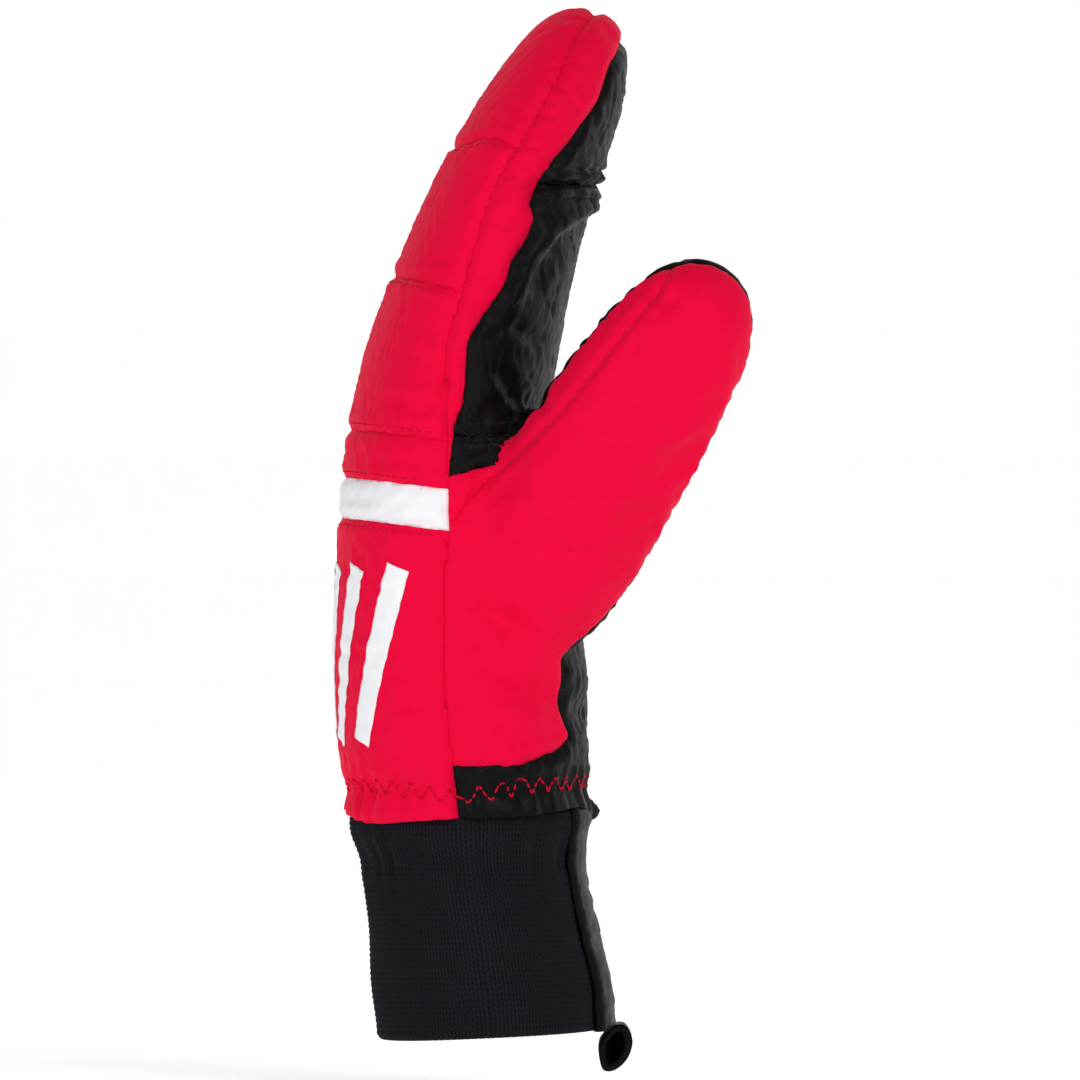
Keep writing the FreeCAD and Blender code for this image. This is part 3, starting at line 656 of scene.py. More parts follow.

# %% [markdown]
# ## Materials
#
# Every surface is worked out by nodes from where a point is, so there are no pictures. A small
# class lets node sums be written as sums. Grain, weave and fibre go into the bump, and the colour
# only drifts a little, because dyed cloth and leather are almost even. The knit alone is darker
# in the grooves between its strands, and that is painted shade.


# %% Sums of nodes
class Value:
    """A socket of a material's node tree. Sums of Values make math nodes."""

    def __init__(self, tree, socket):
        self.tree, self.socket = tree, socket

    def node(self, kind, settings=(), inputs=(), output=0):
        """Any other node: its type, its settings, then its inputs by name or number."""
        made = self.tree.nodes.new(kind)
        for key, value in dict(settings).items():
            setattr(made, key, value)
        for key, value in dict(inputs).items():
            feed(self.tree, made.inputs[key], value)
        return Value(self.tree, made.outputs[output])

    def math(self, operation, *others):
        inputs = dict(enumerate((self, *others)))
        return self.node("ShaderNodeMath", {"operation": operation}, inputs)

    def __add__(self, other):
        return self.math("ADD", other)

    def __sub__(self, other):
        return self.math("SUBTRACT", other)

    def __mul__(self, other):
        return self.math("MULTIPLY", other)

    __radd__, __rmul__ = __add__, __mul__

    def __rsub__(self, other):
        return (self * -1) + other

    def clamped(self, low=0.0, high=1.0):
        return self.math("MAXIMUM", low).math("MINIMUM", high)

    def mix(self, a, b):
        """A colour between a and b, this much of the way."""
        return self.node("ShaderNodeMix", {"data_type": "RGBA"}, {0: self, 6: a, 7: b}, output=2)


def feed(tree, socket, value):
    """Links a Value to a socket, or sets the socket to a plain number or colour."""
    if isinstance(value, Value):
        tree.links.new(value.socket, socket)
    else:
        socket.default_value = value


def new_material(name, constants):
    """A material with a shader whose unvarying inputs are set, and its place coordinates."""
    material = bpy.data.materials.new(name)
    material.use_nodes = True
    tree = material.node_tree
    shader = tree.nodes["Principled BSDF"]
    for key, value in constants.items():
        shader.inputs[key].default_value = value
    coordinates = tree.nodes.new("ShaderNodeTexCoord")
    return material, shader, Value(tree, coordinates.outputs["Object"])


def noise_at(place, scale, stretch=(1, 1, 1), detail=3, roughness=0.55):
    """Noise over the surface, drawn out in one direction by a stretch below 1."""
    moved = place.node("ShaderNodeVectorMath", {"operation": "MULTIPLY"}, {0: place, 1: stretch})
    inputs = {"Vector": moved, "Scale": scale, "Detail": detail, "Roughness": roughness}
    return place.node("ShaderNodeTexNoise", {}, inputs)


def finish(shader, place, colour, roughness, bumps):
    """Joins colour, roughness and a chain of (height, strength, distance) bumps to the shader."""
    tree = place.tree
    feed(tree, shader.inputs["Base Color"], colour)
    feed(tree, shader.inputs["Roughness"], roughness)
    facing = None
    for height, strength, distance in bumps:
        inputs = {"Height": height, "Strength": strength, "Distance": distance}
        if facing is not None:
            inputs["Normal"] = facing
        facing = place.node("ShaderNodeBump", {}, inputs)
    if facing is not None:
        feed(tree, shader.inputs["Normal"], facing)


# %% Woven shell, leather, knit and the rest
def woven(name, dark, light, sheen=0.02):
    """A fine woven cloth: threads across, slubs that streak along them, and a soft drift."""
    material, shader, place = new_material(
        name, {"Specular IOR Level": 0.05, "Sheen Weight": sheen, "Sheen Roughness": 0.4}
    )
    threads = noise_at(place, 900, (0.35, 1, 1.6), 2)
    slubs = noise_at(place, 160, (0.2, 0.5, 4.0), 3)
    drift = noise_at(place, 22, (1, 1, 1), 2)
    amount = (slubs * 0.55 + drift * 0.35 + threads * 0.25 - 0.12).clamped()
    finish(
        shader, place, amount.mix(dark, light), 0.62 + drift * 0.18,
        [(slubs, 0.05, 0.0004), (threads, 0.14, 0.0002)],
    )
    return material


def leather_finish(name, dark, light, rough):
    """Grained leather: small pebbles, finer pores, and creases that open where it bends."""
    material, shader, place = new_material(name, {"Specular IOR Level": 0.07})
    cells = {"Vector": place, "Scale": 950.0}
    pebbles = place.node("ShaderNodeTexVoronoi", {"feature": "F1"}, cells)
    pores = noise_at(place, 2600, (1, 1, 1), 2)
    creases = noise_at(place, 130, (1, 1, 0.45), 6, 0.62)
    drift = noise_at(place, 35, (1, 1, 1), 3)
    amount = (creases * 0.7 + drift * 0.6 - 0.25).clamped()
    finish(
        shader, place, amount.mix(dark, light), rough + drift * 0.16 + pebbles * 0.08,
        [(creases, 0.30, 0.0012), (pebbles, 0.25, 0.00025), (pores, 0.08, 0.0002)],
    )
    return material


def yarn(name, dark, light, scale=1500.0, strands=None):
    """Spun yarn: a matt surface with fibres. Knitted strands get painted shade where they dip."""
    material, shader, place = new_material(
        name, {"Specular IOR Level": 0.1, "Sheen Weight": 0.015, "Sheen Roughness": 0.5}
    )
    fibres = noise_at(place, scale, (1, 1, 0.4), 4)
    drift = noise_at(place, 60, (1, 1, 1), 2)
    amount = (fibres * 0.8 + drift * 0.4 - 0.2).clamped()
    if strands:
        # painted shade: the colour follows each strand's lift, so the grooves between strands are
        # dark
        lifted = place.node("ShaderNodeAttribute", {"attribute_name": strands}, {}, output=2)
        amount = (lifted * 0.85 + fibres * 0.3 - 0.15).clamped()
    finish(shader, place, amount.mix(dark, light), 0.85 + drift * 0.1, [(fibres, 0.35, 0.0005)])
    return material


RED = woven("red_softshell", (0.74, 0.0006, 0.036, 1), (0.86, 0.0012, 0.050, 1))
WHITE = woven("white_softshell", (0.80, 0.82, 0.85, 1), (0.88, 0.89, 0.92, 1), 0.0)
BLACK = leather_finish(
    "black_leather", (0.0020, 0.0020, 0.0023, 1), (0.008, 0.0076, 0.0084, 1), 0.33
)
# The knit's dark colour is painted shade in the grooves between strands; the lighter one is the
# yarn.
KNIT = yarn(
    "rib_knit", (0.0004, 0.0004, 0.0010, 1), (0.0175, 0.0165, 0.0235, 1), strands="strand"
)
FLEECE = yarn("lining_fleece", (0.02, 0.02, 0.022, 1), (0.045, 0.045, 0.05, 1), 900.0)
WADDING = yarn("insulation", (0.70, 0.70, 0.70, 1), (0.86, 0.86, 0.86, 1), 500.0)
MEMBRANE = woven("insert_film", (0.55, 0.56, 0.60, 1), (0.70, 0.71, 0.74, 1), 0.0)
RED_THREAD = yarn("red_thread", (0.50, 0.001, 0.020, 1), (0.76, 0.001, 0.038, 1), 3000.0)
BLACK_THREAD = yarn("black_thread", (0.006, 0.006, 0.007, 1), (0.02, 0.02, 0.022, 1), 3000.0)
PRINT = woven("white_film", (0.82, 0.84, 0.87, 1), (0.90, 0.91, 0.93, 1), 0.0)
ELASTIC = yarn("elastic_tape", (0.02, 0.02, 0.02, 1), (0.05, 0.05, 0.05, 1))
LABEL = woven("label_tape", (0.70, 0.70, 0.68, 1), (0.85, 0.85, 0.83, 1), 0.0)
print("materials:", len(bpy.data.materials))

# %% [markdown]
# ## Panels
#
# The cut skin falls apart into its panels. Each one is given the thickness of its cloth, inwards,
# so the sewn outline stays. Pieces that cross a bending line are handed it, the same line and the
# same two ends for every layer there; nothing here bends them, and they keep their place.

# %% The soft zones' bending lines
FINGER_BEND = ("hand", "fingers", (-0.010, 0, 0.086), (-0.010, 0, 0.128))
THUMB_BEND = ("hand", "thumb", tuple((ROOT + 20 * ALONG) * MM), tuple((ROOT + 54 * ALONG) * MM))
WRIST_BEND = ("hand", "cuff", (0, 0, -0.003), (0, 0, -0.020))


def settle(obj, material, slot, nodes, body=None, bend=None):
    """Gives a finished piece its material, hides the CAD nodes it stands for, and parents it to its
    body; a bend only bakes it in place.
    """
    obj.data.materials.clear()
    obj.data.materials.append(material)
    obj.data.polygons.foreach_set("use_smooth", [True] * len(obj.data.polygons))
    for name in ("rest", "keep"):
        if name in obj.data.attributes:
            obj.data.attributes.remove(obj.data.attributes[name])
    if nodes:
        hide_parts(*nodes)
    if bend:
        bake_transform(obj)
    else:
        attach(obj, body)
    return obj


def thick(bm, name, thickness):
    """An object from a sheet in millimetres, thickened inwards."""
    bmesh.ops.scale(bm, vec=(MM, MM, MM), verts=bm.verts)
    obj = as_object(bm, name + "_sheet")
    wall = obj.modifiers.new("wall", "SOLIDIFY")
    wall.thickness, wall.offset, wall.use_even_offset = thickness * MM, -1, False
    mesh = applied(obj)
    mesh.name = name
    made = bpy.data.objects.new(name, mesh)
    bpy.context.scene.collection.objects.link(made)
    return made


def faces_kept(source, keep):
    """A copy of a bmesh with only the faces that are kept."""
    part = source.copy()
    part.faces.ensure_lookup_table()
    lost = [f for f, use in zip(part.faces, keep) if not use]
    bmesh.ops.delete(part, geom=lost, context="FACES")
    return part


# %% The outer shell
SHELL_WALL = 1.1
bmesh.ops.dissolve_degenerate(skin, dist=0.03, edges=skin.edges)
face_panel = panel_of(centres_of(skin, rest_layer))
shell_tree = BVHTree.FromBMesh(skin)
RED_LOOK, WHITE_LOOK = (RED, "red_softshell"), (WHITE, "white_softshell")
LEATHER_LOOK = (BLACK, "black_leather")
PANELS = {
    "back_fingertip_panel": (RED_LOOK, FINGER_BEND),
    "back_upper_panel": (RED_LOOK, FINGER_BEND),
    "back_middle_panel": (RED_LOOK, FINGER_BEND),
    "knuckle_band": (RED_LOOK, FINGER_BEND),
    "white_stripe": (WHITE_LOOK, FINGER_BEND),
    "back_lower_panel": (RED_LOOK, FINGER_BEND),
    "thumb_side_gusset": (RED_LOOK, FINGER_BEND),
    "little_finger_gusset": (RED_LOOK, FINGER_BEND),
    "palm_fingertip_leather": (LEATHER_LOOK, FINGER_BEND),
    "palm_finger_leather": (LEATHER_LOOK, FINGER_BEND),
    "palm_heel_leather": (LEATHER_LOOK, FINGER_BEND),
    "thumb_outer_panel": (RED_LOOK, THUMB_BEND),
    "thumb_front_strip": (RED_LOOK, THUMB_BEND),
    "thumb_palm_leather": (LEATHER_LOOK, THUMB_BEND),
}
for name, (look, bend) in PANELS.items():
    piece = thick(faces_kept(skin, face_panel == name), "shell." + name, SHELL_WALL)
    settle(piece, *look, [name], bend=bend)
    print(name, len(piece.data.polygons), "faces")

# %% [markdown]
# ## The layers inside
#
# Wadding, waterproof insert and lining are the same shape again, each one further in. The wadding
# is thickest over the back of the hand and thinnest in the palm, where the fingers have to feel.

# %% Wadding, insert and lining
core_layer = core.verts.layers.float_vector["rest"]
core_rest = np.array([v[core_layer] for v in core.verts])
core.normal_update()
core_normal = np.array([v.normal for v in core.verts])
core_place = np.array([v.co for v in core.verts])
core_centre = centres_of(core, core_layer)
is_leather = np.array(["leather" in name for name in panel_of(core_rest)])
SHELL_DEPTH = np.where(is_leather, 5.2, np.interp(core_rest[:, 2], [8, 30], [4.6, 2.9]))
FILL_WALL = np.interp(core_rest[:, 0], [-20, 10], [3.6, 1.8])
LAYER_FOOT = 6.0  # the layers start just over the wrist elastic


def layer_sheet(name, depth, thickness, keep, look, nodes, bend):
    """Part of the filled shape, moved in by a depth, as a wall of its own."""
    bm = core.copy()
    for v, p in zip(bm.verts, core_place - core_normal * np.reshape(depth, (-1, 1))):
        v.co = p
    part = faces_kept(bm, keep)
    bm.free()
    everything = part.verts[:] + part.edges[:] + part.faces[:]
    bmesh.ops.bisect_plane(
        part, geom=everything, plane_co=(0, 0, LAYER_FOOT), plane_no=(0, 0, 1), clear_inner=True
    )
    smoothed(part)
    piece = settle(thick(part, name, thickness), *look, nodes, bend=bend)
    print(name, len(piece.data.polygons), "faces")
    return piece


thumb_part = (over_hand(core_centre) > THUMB_EDGE) & in_thumb_span(core_centre)
on_back = away_from_back(core_centre) < 0
over_knuckles = core_centre[:, 2] > 95
BACK_FILL, PALM_FILL, THUMB_FILL = 3.4, 1.6, 1.8
FILL_PIECES = {
    "insulation_hand_back": (~thumb_part & on_back & ~over_knuckles, BACK_FILL, FINGER_BEND),
    "insulation_hand_palm": (~thumb_part & ~on_back & ~over_knuckles, PALM_FILL, FINGER_BEND),
    "insulation_fingers_back": (~thumb_part & on_back & over_knuckles, BACK_FILL, FINGER_BEND),
    "insulation_fingers_palm": (~thumb_part & ~on_back & over_knuckles, PALM_FILL, FINGER_BEND),
    "insulation_thumb": (thumb_part, THUMB_FILL, THUMB_BEND),
}
for name, (keep, thickness, bend) in FILL_PIECES.items():
    look = (WADDING, "insulation")
    wadding = layer_sheet("fill." + name, SHELL_DEPTH, thickness, keep, look, [name], bend)
# Each inner layer: its piece and node, how far under the wadding it is, how thick, and its look.
INNER_LAYERS = (
    ("insert.", "waterproof_insert", 0.4, 0.4, (MEMBRANE, "insert_film")),
    ("lining.", "inner_lining", 1.2, 1.0, (FLEECE, "lining_fleece")),
)
for zone, keep, bend in (("hand", ~thumb_part, FINGER_BEND), ("thumb", thumb_part, THUMB_BEND)):
    for piece, node, under, thickness, look in INNER_LAYERS:
        depth = SHELL_DEPTH + FILL_WALL + under
        layer_sheet(piece + zone, depth, thickness, keep, look, [node], bend)
core.free()

# %% [markdown]
# ## Elastic and label
#
# A flat elastic runs round inside the shell at the wrist and holds the knit's top edge. A soft
# label is sewn in at the back of the lining, so that it can be read through the opening.


# %% A point on the hand pocket
def pocket_point(angle, z, inset=0.0):
    """Points on the pocket's outline before filling. Angle 0 is the palm, pi the back."""
    angle, z = np.broadcast_arrays(np.asarray(angle, float), np.asarray(z, float))
    back, palm, near, far = (np.interp(z, ROWS_Z, HAND_ROWS[:, i]) for i in range(1, 5))
    c, s = np.cos(angle), np.sin(angle)
    half_x, half_y = (palm - back) / 2 - inset, (far - near) / 2 - inset
    x = half_x * np.sign(c) * np.abs(c) ** (2 / FULLNESS) + (palm + back) / 2
    y = half_y * np.sign(s) * np.abs(s) ** (2 / FULLNESS) + (far + near) / 2
    return np.stack([x, y, z], -1)


def mapped_grid(columns, rows, place, around=False, height=None):
    """A bmesh grid whose points are put where place(u, v) says, u and v from 0 to 1."""
    bm = bmesh.new()
    bmesh.ops.create_grid(bm, x_segments=columns, y_segments=rows, size=0.5)
    u, v = np.array([(p.co.x + 0.5, p.co.y + 0.5) for p in bm.verts]).T
    for p, where in zip(bm.verts, place(u, v)):
        p.co = where
    if height:
        # the strand layer feeds the knit's painted shade in its grooves
        layer = bm.verts.layers.float.new("strand")
        for p, value in zip(bm.verts, height(u, v)):
            p[layer] = value
    if around:
        ends = [p for p, t in zip(bm.verts, u) if t < 1e-6 or t > 1 - 1e-6]
        bmesh.ops.remove_doubles(bm, verts=ends, dist=0.001)
    bm.normal_update()
    return bm


def facing_out(bm, middle):
    """Turns an open sheet so that its faces look away from a middle point."""
    middle = Vector(middle)
    away = sum((f.calc_center_median() - middle).dot(f.normal) * f.calc_area() for f in bm.faces)
    if away < 0:
        bmesh.ops.reverse_faces(bm, faces=bm.faces)
    return bm


# %% Elastic band and care label
ELASTIC_WIDTH, ELASTIC_INSET, ELASTIC_WAVES = 10, 4.3, 30
LABEL_FOOT, LABEL_LENGTH, LABEL_INSET = 10, 38, 12.0


def elastic_place(u, v):
    """The elastic is gathered too, so it waves in and out a little as it goes round."""
    wave = 0.25 * np.cos(2 * math.pi * ELASTIC_WAVES * u)
    return pocket_point(u * 2 * math.pi, ELASTIC_WIDTH * (v - 0.5), ELASTIC_INSET + wave)


def label_place(u, v):
    """The label lies across the middle of the back."""
    angle = math.pi + 0.42 * (2 * u - 1)
    return pocket_point(angle, LABEL_FOOT + LABEL_LENGTH * v, LABEL_INSET)


elastic = mapped_grid(140, 6, elastic_place, True)
settle(
    thick(facing_out(elastic, (0, 0, 0)), "elastic.wrist", 0.6),
    ELASTIC, "elastic_tape", ["wrist_elastic"], body="hand",
)
label = mapped_grid(20, 20, label_place)
settle(
    thick(facing_out(label, (0, 0, 28)), "label.care", 0.4),
    LABEL, "label_tape", ["care_label"], body="hand",
)

# %% [markdown]
# ## The knit cuff
#
# The cuff is a tube of fine knit that is folded double, so one knit surface goes down outside,
# round the fold and up inside. Every stitch is a small V, and they sit in columns. The columns are
# real relief here: a fine grid is laid over the cuff and lifted where a strand is. The knit
# bulges where it comes out from under the elastic, and draws into soft upright folds below it.

# %% The cuff's outline
# Back, palm, thumb side and little-finger side, at the shell's hem and at the fold.
HEM = np.array([-36.6, 25.4, -36.6, 37.4])
FOLD = np.array([-29.0, 31.6, -38.5, 38.5])
CUFF_LENGTH, HEM_Z = 57.5, -7.0
CUFF = smooth_rows(
    np.array(
        [
            # share of the depth, then how far back, palm and sides have gone to the fold's outline
            (0.02, 0.00, 0.00, 0.0),
            (0.13, 0.24, -0.25, 0.5),
            (0.30, 0.48, -0.17, 0.9),
            (0.58, 0.71, 0.42, 1.0),
            (0.80, 0.81, 0.90, 1.0),
            (0.94, 0.95, 1.00, 1.0),
            (1.00, 1.00, 1.00, 1.0),
        ]
    ),
    6,
)
COLUMNS, ROW = 104, 1.5  # stitches round the cuff, and the height of one row
FOLD_RADIUS = 1.3
FOLD_TOP, FOLD_ARC = HEM_Z - CUFF_LENGTH + FOLD_RADIUS, math.pi / 2 * FOLD_RADIUS
KNIT_TOP, INNER_TOP = 3.5, -14.5
TUCK = 3.4  # how far in the outer layer's top edge goes, to pass under the elastic
OUTER_RUN = KNIT_TOP - FOLD_TOP + FOLD_ARC


def cuff_point(angle, z, inset):
    """Points on the cuff's outline. The fold hangs a little lower at the back."""
    share = (HEM_Z - z) / CUFF_LENGTH
    back, palm, side = (np.interp(share, CUFF[:, 0], CUFF[:, i]) for i in (1, 2, 3))
    limits = [h + (f - h) * m for h, f, m in zip(HEM, FOLD, (back, palm, side, side))]
    c, s = np.cos(angle), np.sin(angle)
    half_x, half_y = (limits[1] - limits[0]) / 2 - inset, (limits[3] - limits[2]) / 2 - inset
    x = half_x * np.sign(c) * np.abs(c) ** (2 / FULLNESS) + (limits[1] + limits[0]) / 2
    y = half_y * np.sign(s) * np.abs(s) ** (2 / FULLNESS) + (limits[3] + limits[2]) / 2
    drop = np.clip(share, 0, 1) ** 2 * (0.05 * x - 1.0)
    return np.stack([x, y, z + drop], -1)


def far_roll(angle, z):
    """The knit rolls out over the strip's far edge, where the heel's hem is highest."""
    return 7.2 * np.exp(-(((angle - 0.42) / 0.26) ** 2) - ((z + 4.8) / 4.4) ** 4)


def knit_folds(angle, z):
    """Soft upright folds just below the hem, and a slight unevenness all over."""
    below = np.exp(-(((z + 17) / 9) ** 2))
    drawn = np.sin(23 * angle + 1.5 * np.sin(5 * angle)) * 0.45 + np.sin(37 * angle + 2) * 0.25
    roll = 0.9 * np.exp(-(((z + 11.5) / 3.5) ** 2)) - 0.5 * np.exp(-(((z + 19) / 3.0) ** 2))
    soft = 0.35 * np.sin(3 * angle + 0.11 * z) * np.sin(0.16 * z + 2 * angle)
    return below * drawn + roll + soft


def knit_stitches(columns, rows):
    """Height of the V-shaped stitches, from 0 to 1."""
    leg = np.abs(columns % 1 - 0.5) * 2
    body = np.sin(math.pi * np.clip(leg * 0.86 + 0.07, 0, 1)) ** 0.7
    strand = 0.5 + 0.5 * np.cos(2 * math.pi * (rows - 0.75 * leg))
    return body * (0.45 + 0.55 * strand)


def knit_place(top, outside, stitch_height):
    """The mapping of one layer: from its top edge down to the bottom of the fold."""
    inset, away = (0, 1) if outside else (2 * FOLD_RADIUS, -1)
    straight = top - FOLD_TOP

    def place(u, v):
        angle = (u if outside else 1 - u) * 2 * math.pi
        run = v * (straight + FOLD_ARC)
        stitches = stitch_height * knit_stitches(u * COLUMNS, run / ROW)
        round_fold = np.clip((run - straight) / FOLD_RADIUS, 0, math.pi / 2)
        z = top - np.minimum(run, straight)
        upright = np.cos(round_fold)
        in_by = inset + away * FOLD_RADIUS * (1 - upright)
        relief = knit_folds(angle, z) * np.clip((HEM_Z + 3 - z) / 5, 0, 1)
        relief = relief * (1 if outside else 0.5) * upright
        tucked, rolled = 0, 0
        if outside:
            turned = (angle + math.pi) % (2 * math.pi) - math.pi
            tucked = TUCK * np.clip((z + 5.5) / 4, 0, 1)
            rolled = far_roll(turned, z)
        p = cuff_point(angle, z, in_by + tucked - relief - away * stitches * upright - rolled)
        p[:, 2] -= FOLD_RADIUS * np.sin(round_fold) + stitches * (1 - upright)
        return p

    return place


# %% Outer and inner knit
def strand_lift_for_shade(u, v):
    """How far each point of the outer knit is lifted, which its colour turns into painted shade."""
    return knit_stitches(u * COLUMNS, v * OUTER_RUN / ROW)


def knit_piece(name, bm, node, **moves):
    """A knit layer, from a grid in millimetres."""
    bmesh.ops.scale(bm, vec=(MM, MM, MM), verts=bm.verts)
    return settle(as_object(bm, name), KNIT, "rib_knit", [node], **moves)


outer_knit = mapped_grid(6 * COLUMNS, 150, knit_place(KNIT_TOP, True, 0.62), True, strand_lift_for_shade)
facing_out(outer_knit, (0, 0, -30))
knit_piece("knit.outer", outer_knit, "knit_cuff_outer_layer", bend=WRIST_BEND)
inner_knit = mapped_grid(4 * COLUMNS, 80, knit_place(INNER_TOP, False, 0.4), True, strand_lift_for_shade)
facing_out(inner_knit, (0, 0, -30))
bmesh.ops.reverse_faces(inner_knit, faces=inner_knit.faces)
knit_piece("knit.inner", inner_knit, "knit_cuff_inner_layer", body="cuff")

# %% [markdown]
# ## Leather strip and pull tab
#
# A band of leather is sewn down the palm side of the knit, where the hand pulls the mitten on. It
# is bent crosswise whenever the cuff bends, so it has small creases across. It is handed the same
# wrist bend as the knit that it is sewn to, which nothing here applies. The tab below it is a strap
# folded into a loop and stands off, stiff enough to hold its own shape.


# %% Strip
STRIP_WIDTH, STRIP_FOOT, CUFF_HALF = 40, -65.1, 38.2


def strip_place(u, v):
    """u goes across the strip and v down it, from under the hem to round the fold."""
    y = (u - 0.5) * STRIP_WIDTH
    top = -1.5 - 9.0 * np.clip((u - 0.42) / 0.2, 0, 1)  # lower on the little-finger side
    z = top + v * (STRIP_FOOT - top)
    angle = np.arcsin(np.sign(y) * (np.abs(y) / CUFF_HALF) ** (FULLNESS / 2))
    seed = np.stack([y, z, np.zeros_like(y)], 1)
    crease = field_noise(seed, 5.5, 3.0, (0.28, 1, 1))
    fine = field_noise(seed, 2.2, 5.0, (0.4, 1, 1))
    rolled = np.clip((np.abs(u - 0.5) * 2 - 0.86) / 0.14, 0, 1) ** 2
    out = 2.9 - 1.3 * rolled + 0.6 * crease + 0.2 * fine
    out -= 3.2 * np.exp(-(((z - top) / 3.0) ** 2))
    return cuff_point(angle, z, -out)


strip = facing_out(mapped_grid(60, 110, strip_place), (0, 0, -30))
settle(
    thick(strip, "leather.strip", 2.0), *LEATHER_LOOK, ["cuff_leather_strip"], bend=WRIST_BEND
)

# %% Pull tab
TAB_WIDTH, TAB_MIDDLE = 21.0, 34.5
TAB_LINE = smooth_rows(
    np.array(
        [
            # x and z round the loop, from where it leaves the strip
            (31.7, -65.5),
            (32.8, -64.2),
            (34.8, -63.2),
            (37.0, -63.4),
            (38.6, -65.6),
            (39.1, -68.3),
            (37.9, -72.0),
            (35.3, -74.8),
            (32.7, -75.7),
            (30.8, -74.8),
            (29.9, -71.0),
            (30.2, -67.6),
            (31.7, -65.5),
        ]
    ),
    6,
)


def tab_place(u, v):
    """u goes round the loop and v across it. The loop is pressed together in its middle."""
    run = np.linspace(0, 1, len(TAB_LINE))
    x, z = (np.interp(u, run, TAB_LINE[:, i]) for i in (0, 1))
    edge = np.clip((np.abs(v - 0.5) * 2 - 0.8) / 0.2, 0, 1) ** 2
    y = (v - 0.5) * TAB_WIDTH + 0.25 * np.sin(9 * u)
    pinch = 1 - 0.66 * np.exp(-((y / 5.5) ** 2))
    return np.stack([TAB_MIDDLE + (x - TAB_MIDDLE) * pinch + 0.2 * edge, y, z + 0.2 * edge], -1)


loop = facing_out(mapped_grid(90, 26, tab_place, True), (34, 0, -69))
settle(thick(loop, "leather.pull_tab", 1.9), *LEATHER_LOOK, ["pull_tab"], body="tab")

# %% [markdown]
# ## Print
#
# The back carries a heat-pressed film in plain slanting bars. A film is so thin that it takes every
# fold of the cloth, so each bar is laid over the finished panel point by point.

# %% Slanting bars
BAR_WIDTH, BAR_LENGTH, BAR_LEAN, BAR_FOOT = 7.5, 50.0, math.radians(20), 12.0
BARS, BAR_STEP, FIRST_BAR = 6, 17.0, -34.0
FILM_GAP, FILM_WALL = 0.34, 0.25


def run_along(points):
    """How far each point is from the first one, along the line."""
    return np.concatenate([[0], np.cumsum(np.linalg.norm(np.diff(points, axis=0), axis=1))])


BACK_ANGLES = np.linspace(math.pi / 2, 3 * math.pi / 2, 400)
GIRTH = run_along(pocket_point(BACK_ANGLES, 36.0))
GIRTH = GIRTH[200] - GIRTH  # 0 in the middle of the back, below 0 on the thumb side
bars = bmesh.new()
for i in range(BARS):
    start = BAR_STEP * i + FIRST_BAR

    def bar_place(u, v, start=start):
        across, up = u * BAR_WIDTH, v * BAR_LENGTH
        over = start + across * math.cos(BAR_LEAN) - up * math.sin(BAR_LEAN)
        z = BAR_FOOT + across * math.sin(BAR_LEAN) + up * math.cos(BAR_LEAN)
        angle = np.interp(over, GIRTH[::-1], BACK_ANGLES[::-1])
        hits = [shell_tree.find_nearest(Vector(p)) for p in pocket_point(angle, z)]
        return np.array([hit[0] + hit[1] * FILM_GAP for hit in hits])

    bar = facing_out(mapped_grid(9, 60, bar_place), (0, 0, 40))
    mesh = bpy.data.meshes.new("bar")
    bar.to_mesh(mesh)
    bar.free()
    bars.from_mesh(mesh)
settle(thick(bars, "print.bars", FILM_WALL), PRINT, "white_film", ["printed_bars"], body="hand")

# %% [markdown]
# ## Thread
#
# Stitches are what make the seams read as sewn. Each one is a small swollen capsule that lies on
# the finished cloth, found by looking for the nearest point of the shell. Hundreds of them are
# needed, so each has only a few faces.


# %% Stitches along a line
def on_shell(p):
    """The nearest point on the finished shell, and the way out there."""
    hit, normal, _, _ = shell_tree.find_nearest(Vector(p))
    return hit, normal


def add_stitch(bm, a, b, normal, width):
    """One stitch from a to b, as a flattened capsule."""
    along = b - a
    side = along.cross(normal).normalized()
    out = side.cross(along).normalized()
    turn = Matrix((along / 2, side * width, out * width * 0.75)).transposed()
    place = Matrix.Translation((a + b) / 2 + normal * width * 0.35) @ turn.to_4x4()
    lying = place @ Matrix.Rotation(math.pi / 2, 4, "Y")
    bmesh.ops.create_uvsphere(bm, u_segments=6, v_segments=5, radius=1, matrix=lying)


def sew(bm, points, pitch, share=0.72, width=0.26):
    """Stitches of an even pitch along a line of points before filling."""
    if len(points) < 2:
        return
    run = run_along(points)
    for start in np.arange(pitch * 0.3, run[-1] - pitch, pitch):
        ends = (start, start + pitch * share)
        places = ([np.interp(t, run, points[:, i]) for i in range(3)] for t in ends)
        (a, n), (b, _) = (on_shell(p) for p in places)
        if (b - a).length > 0.4:
            add_stitch(bm, a, b, n, width)


def seam_row(number, offset, low, high, where):
    """The line round the pocket where number(p) is the offset."""
    heights = np.linspace(low, high, 160)
    line = []
    for angle in np.linspace(0, 2 * math.pi, 240):
        p = pocket_point(angle, heights)
        values = number(p) - offset
        crossing = np.flatnonzero((values[:-1] < 0) & (values[1:] >= 0))
        if len(crossing):
            i = crossing[0]
            t = values[i] / (values[i] - values[i + 1])
            line.append(p[i] + (p[i + 1] - p[i]) * t)
    line = np.array(line)
    return line[where(line)]


# %% Topstitching and shirring
def inside_back(p):
    """On the back, clear of its side seam."""
    return away_from_back(p) < -2.0


def inside_palm(p):
    """On the palm's leather, clear of its edge."""
    edge = np.where(p[:, 1] < 0, leather_seam(p[:, 2]), little_seam(p[:, 2]))
    return p[:, 0] > edge + 2.5


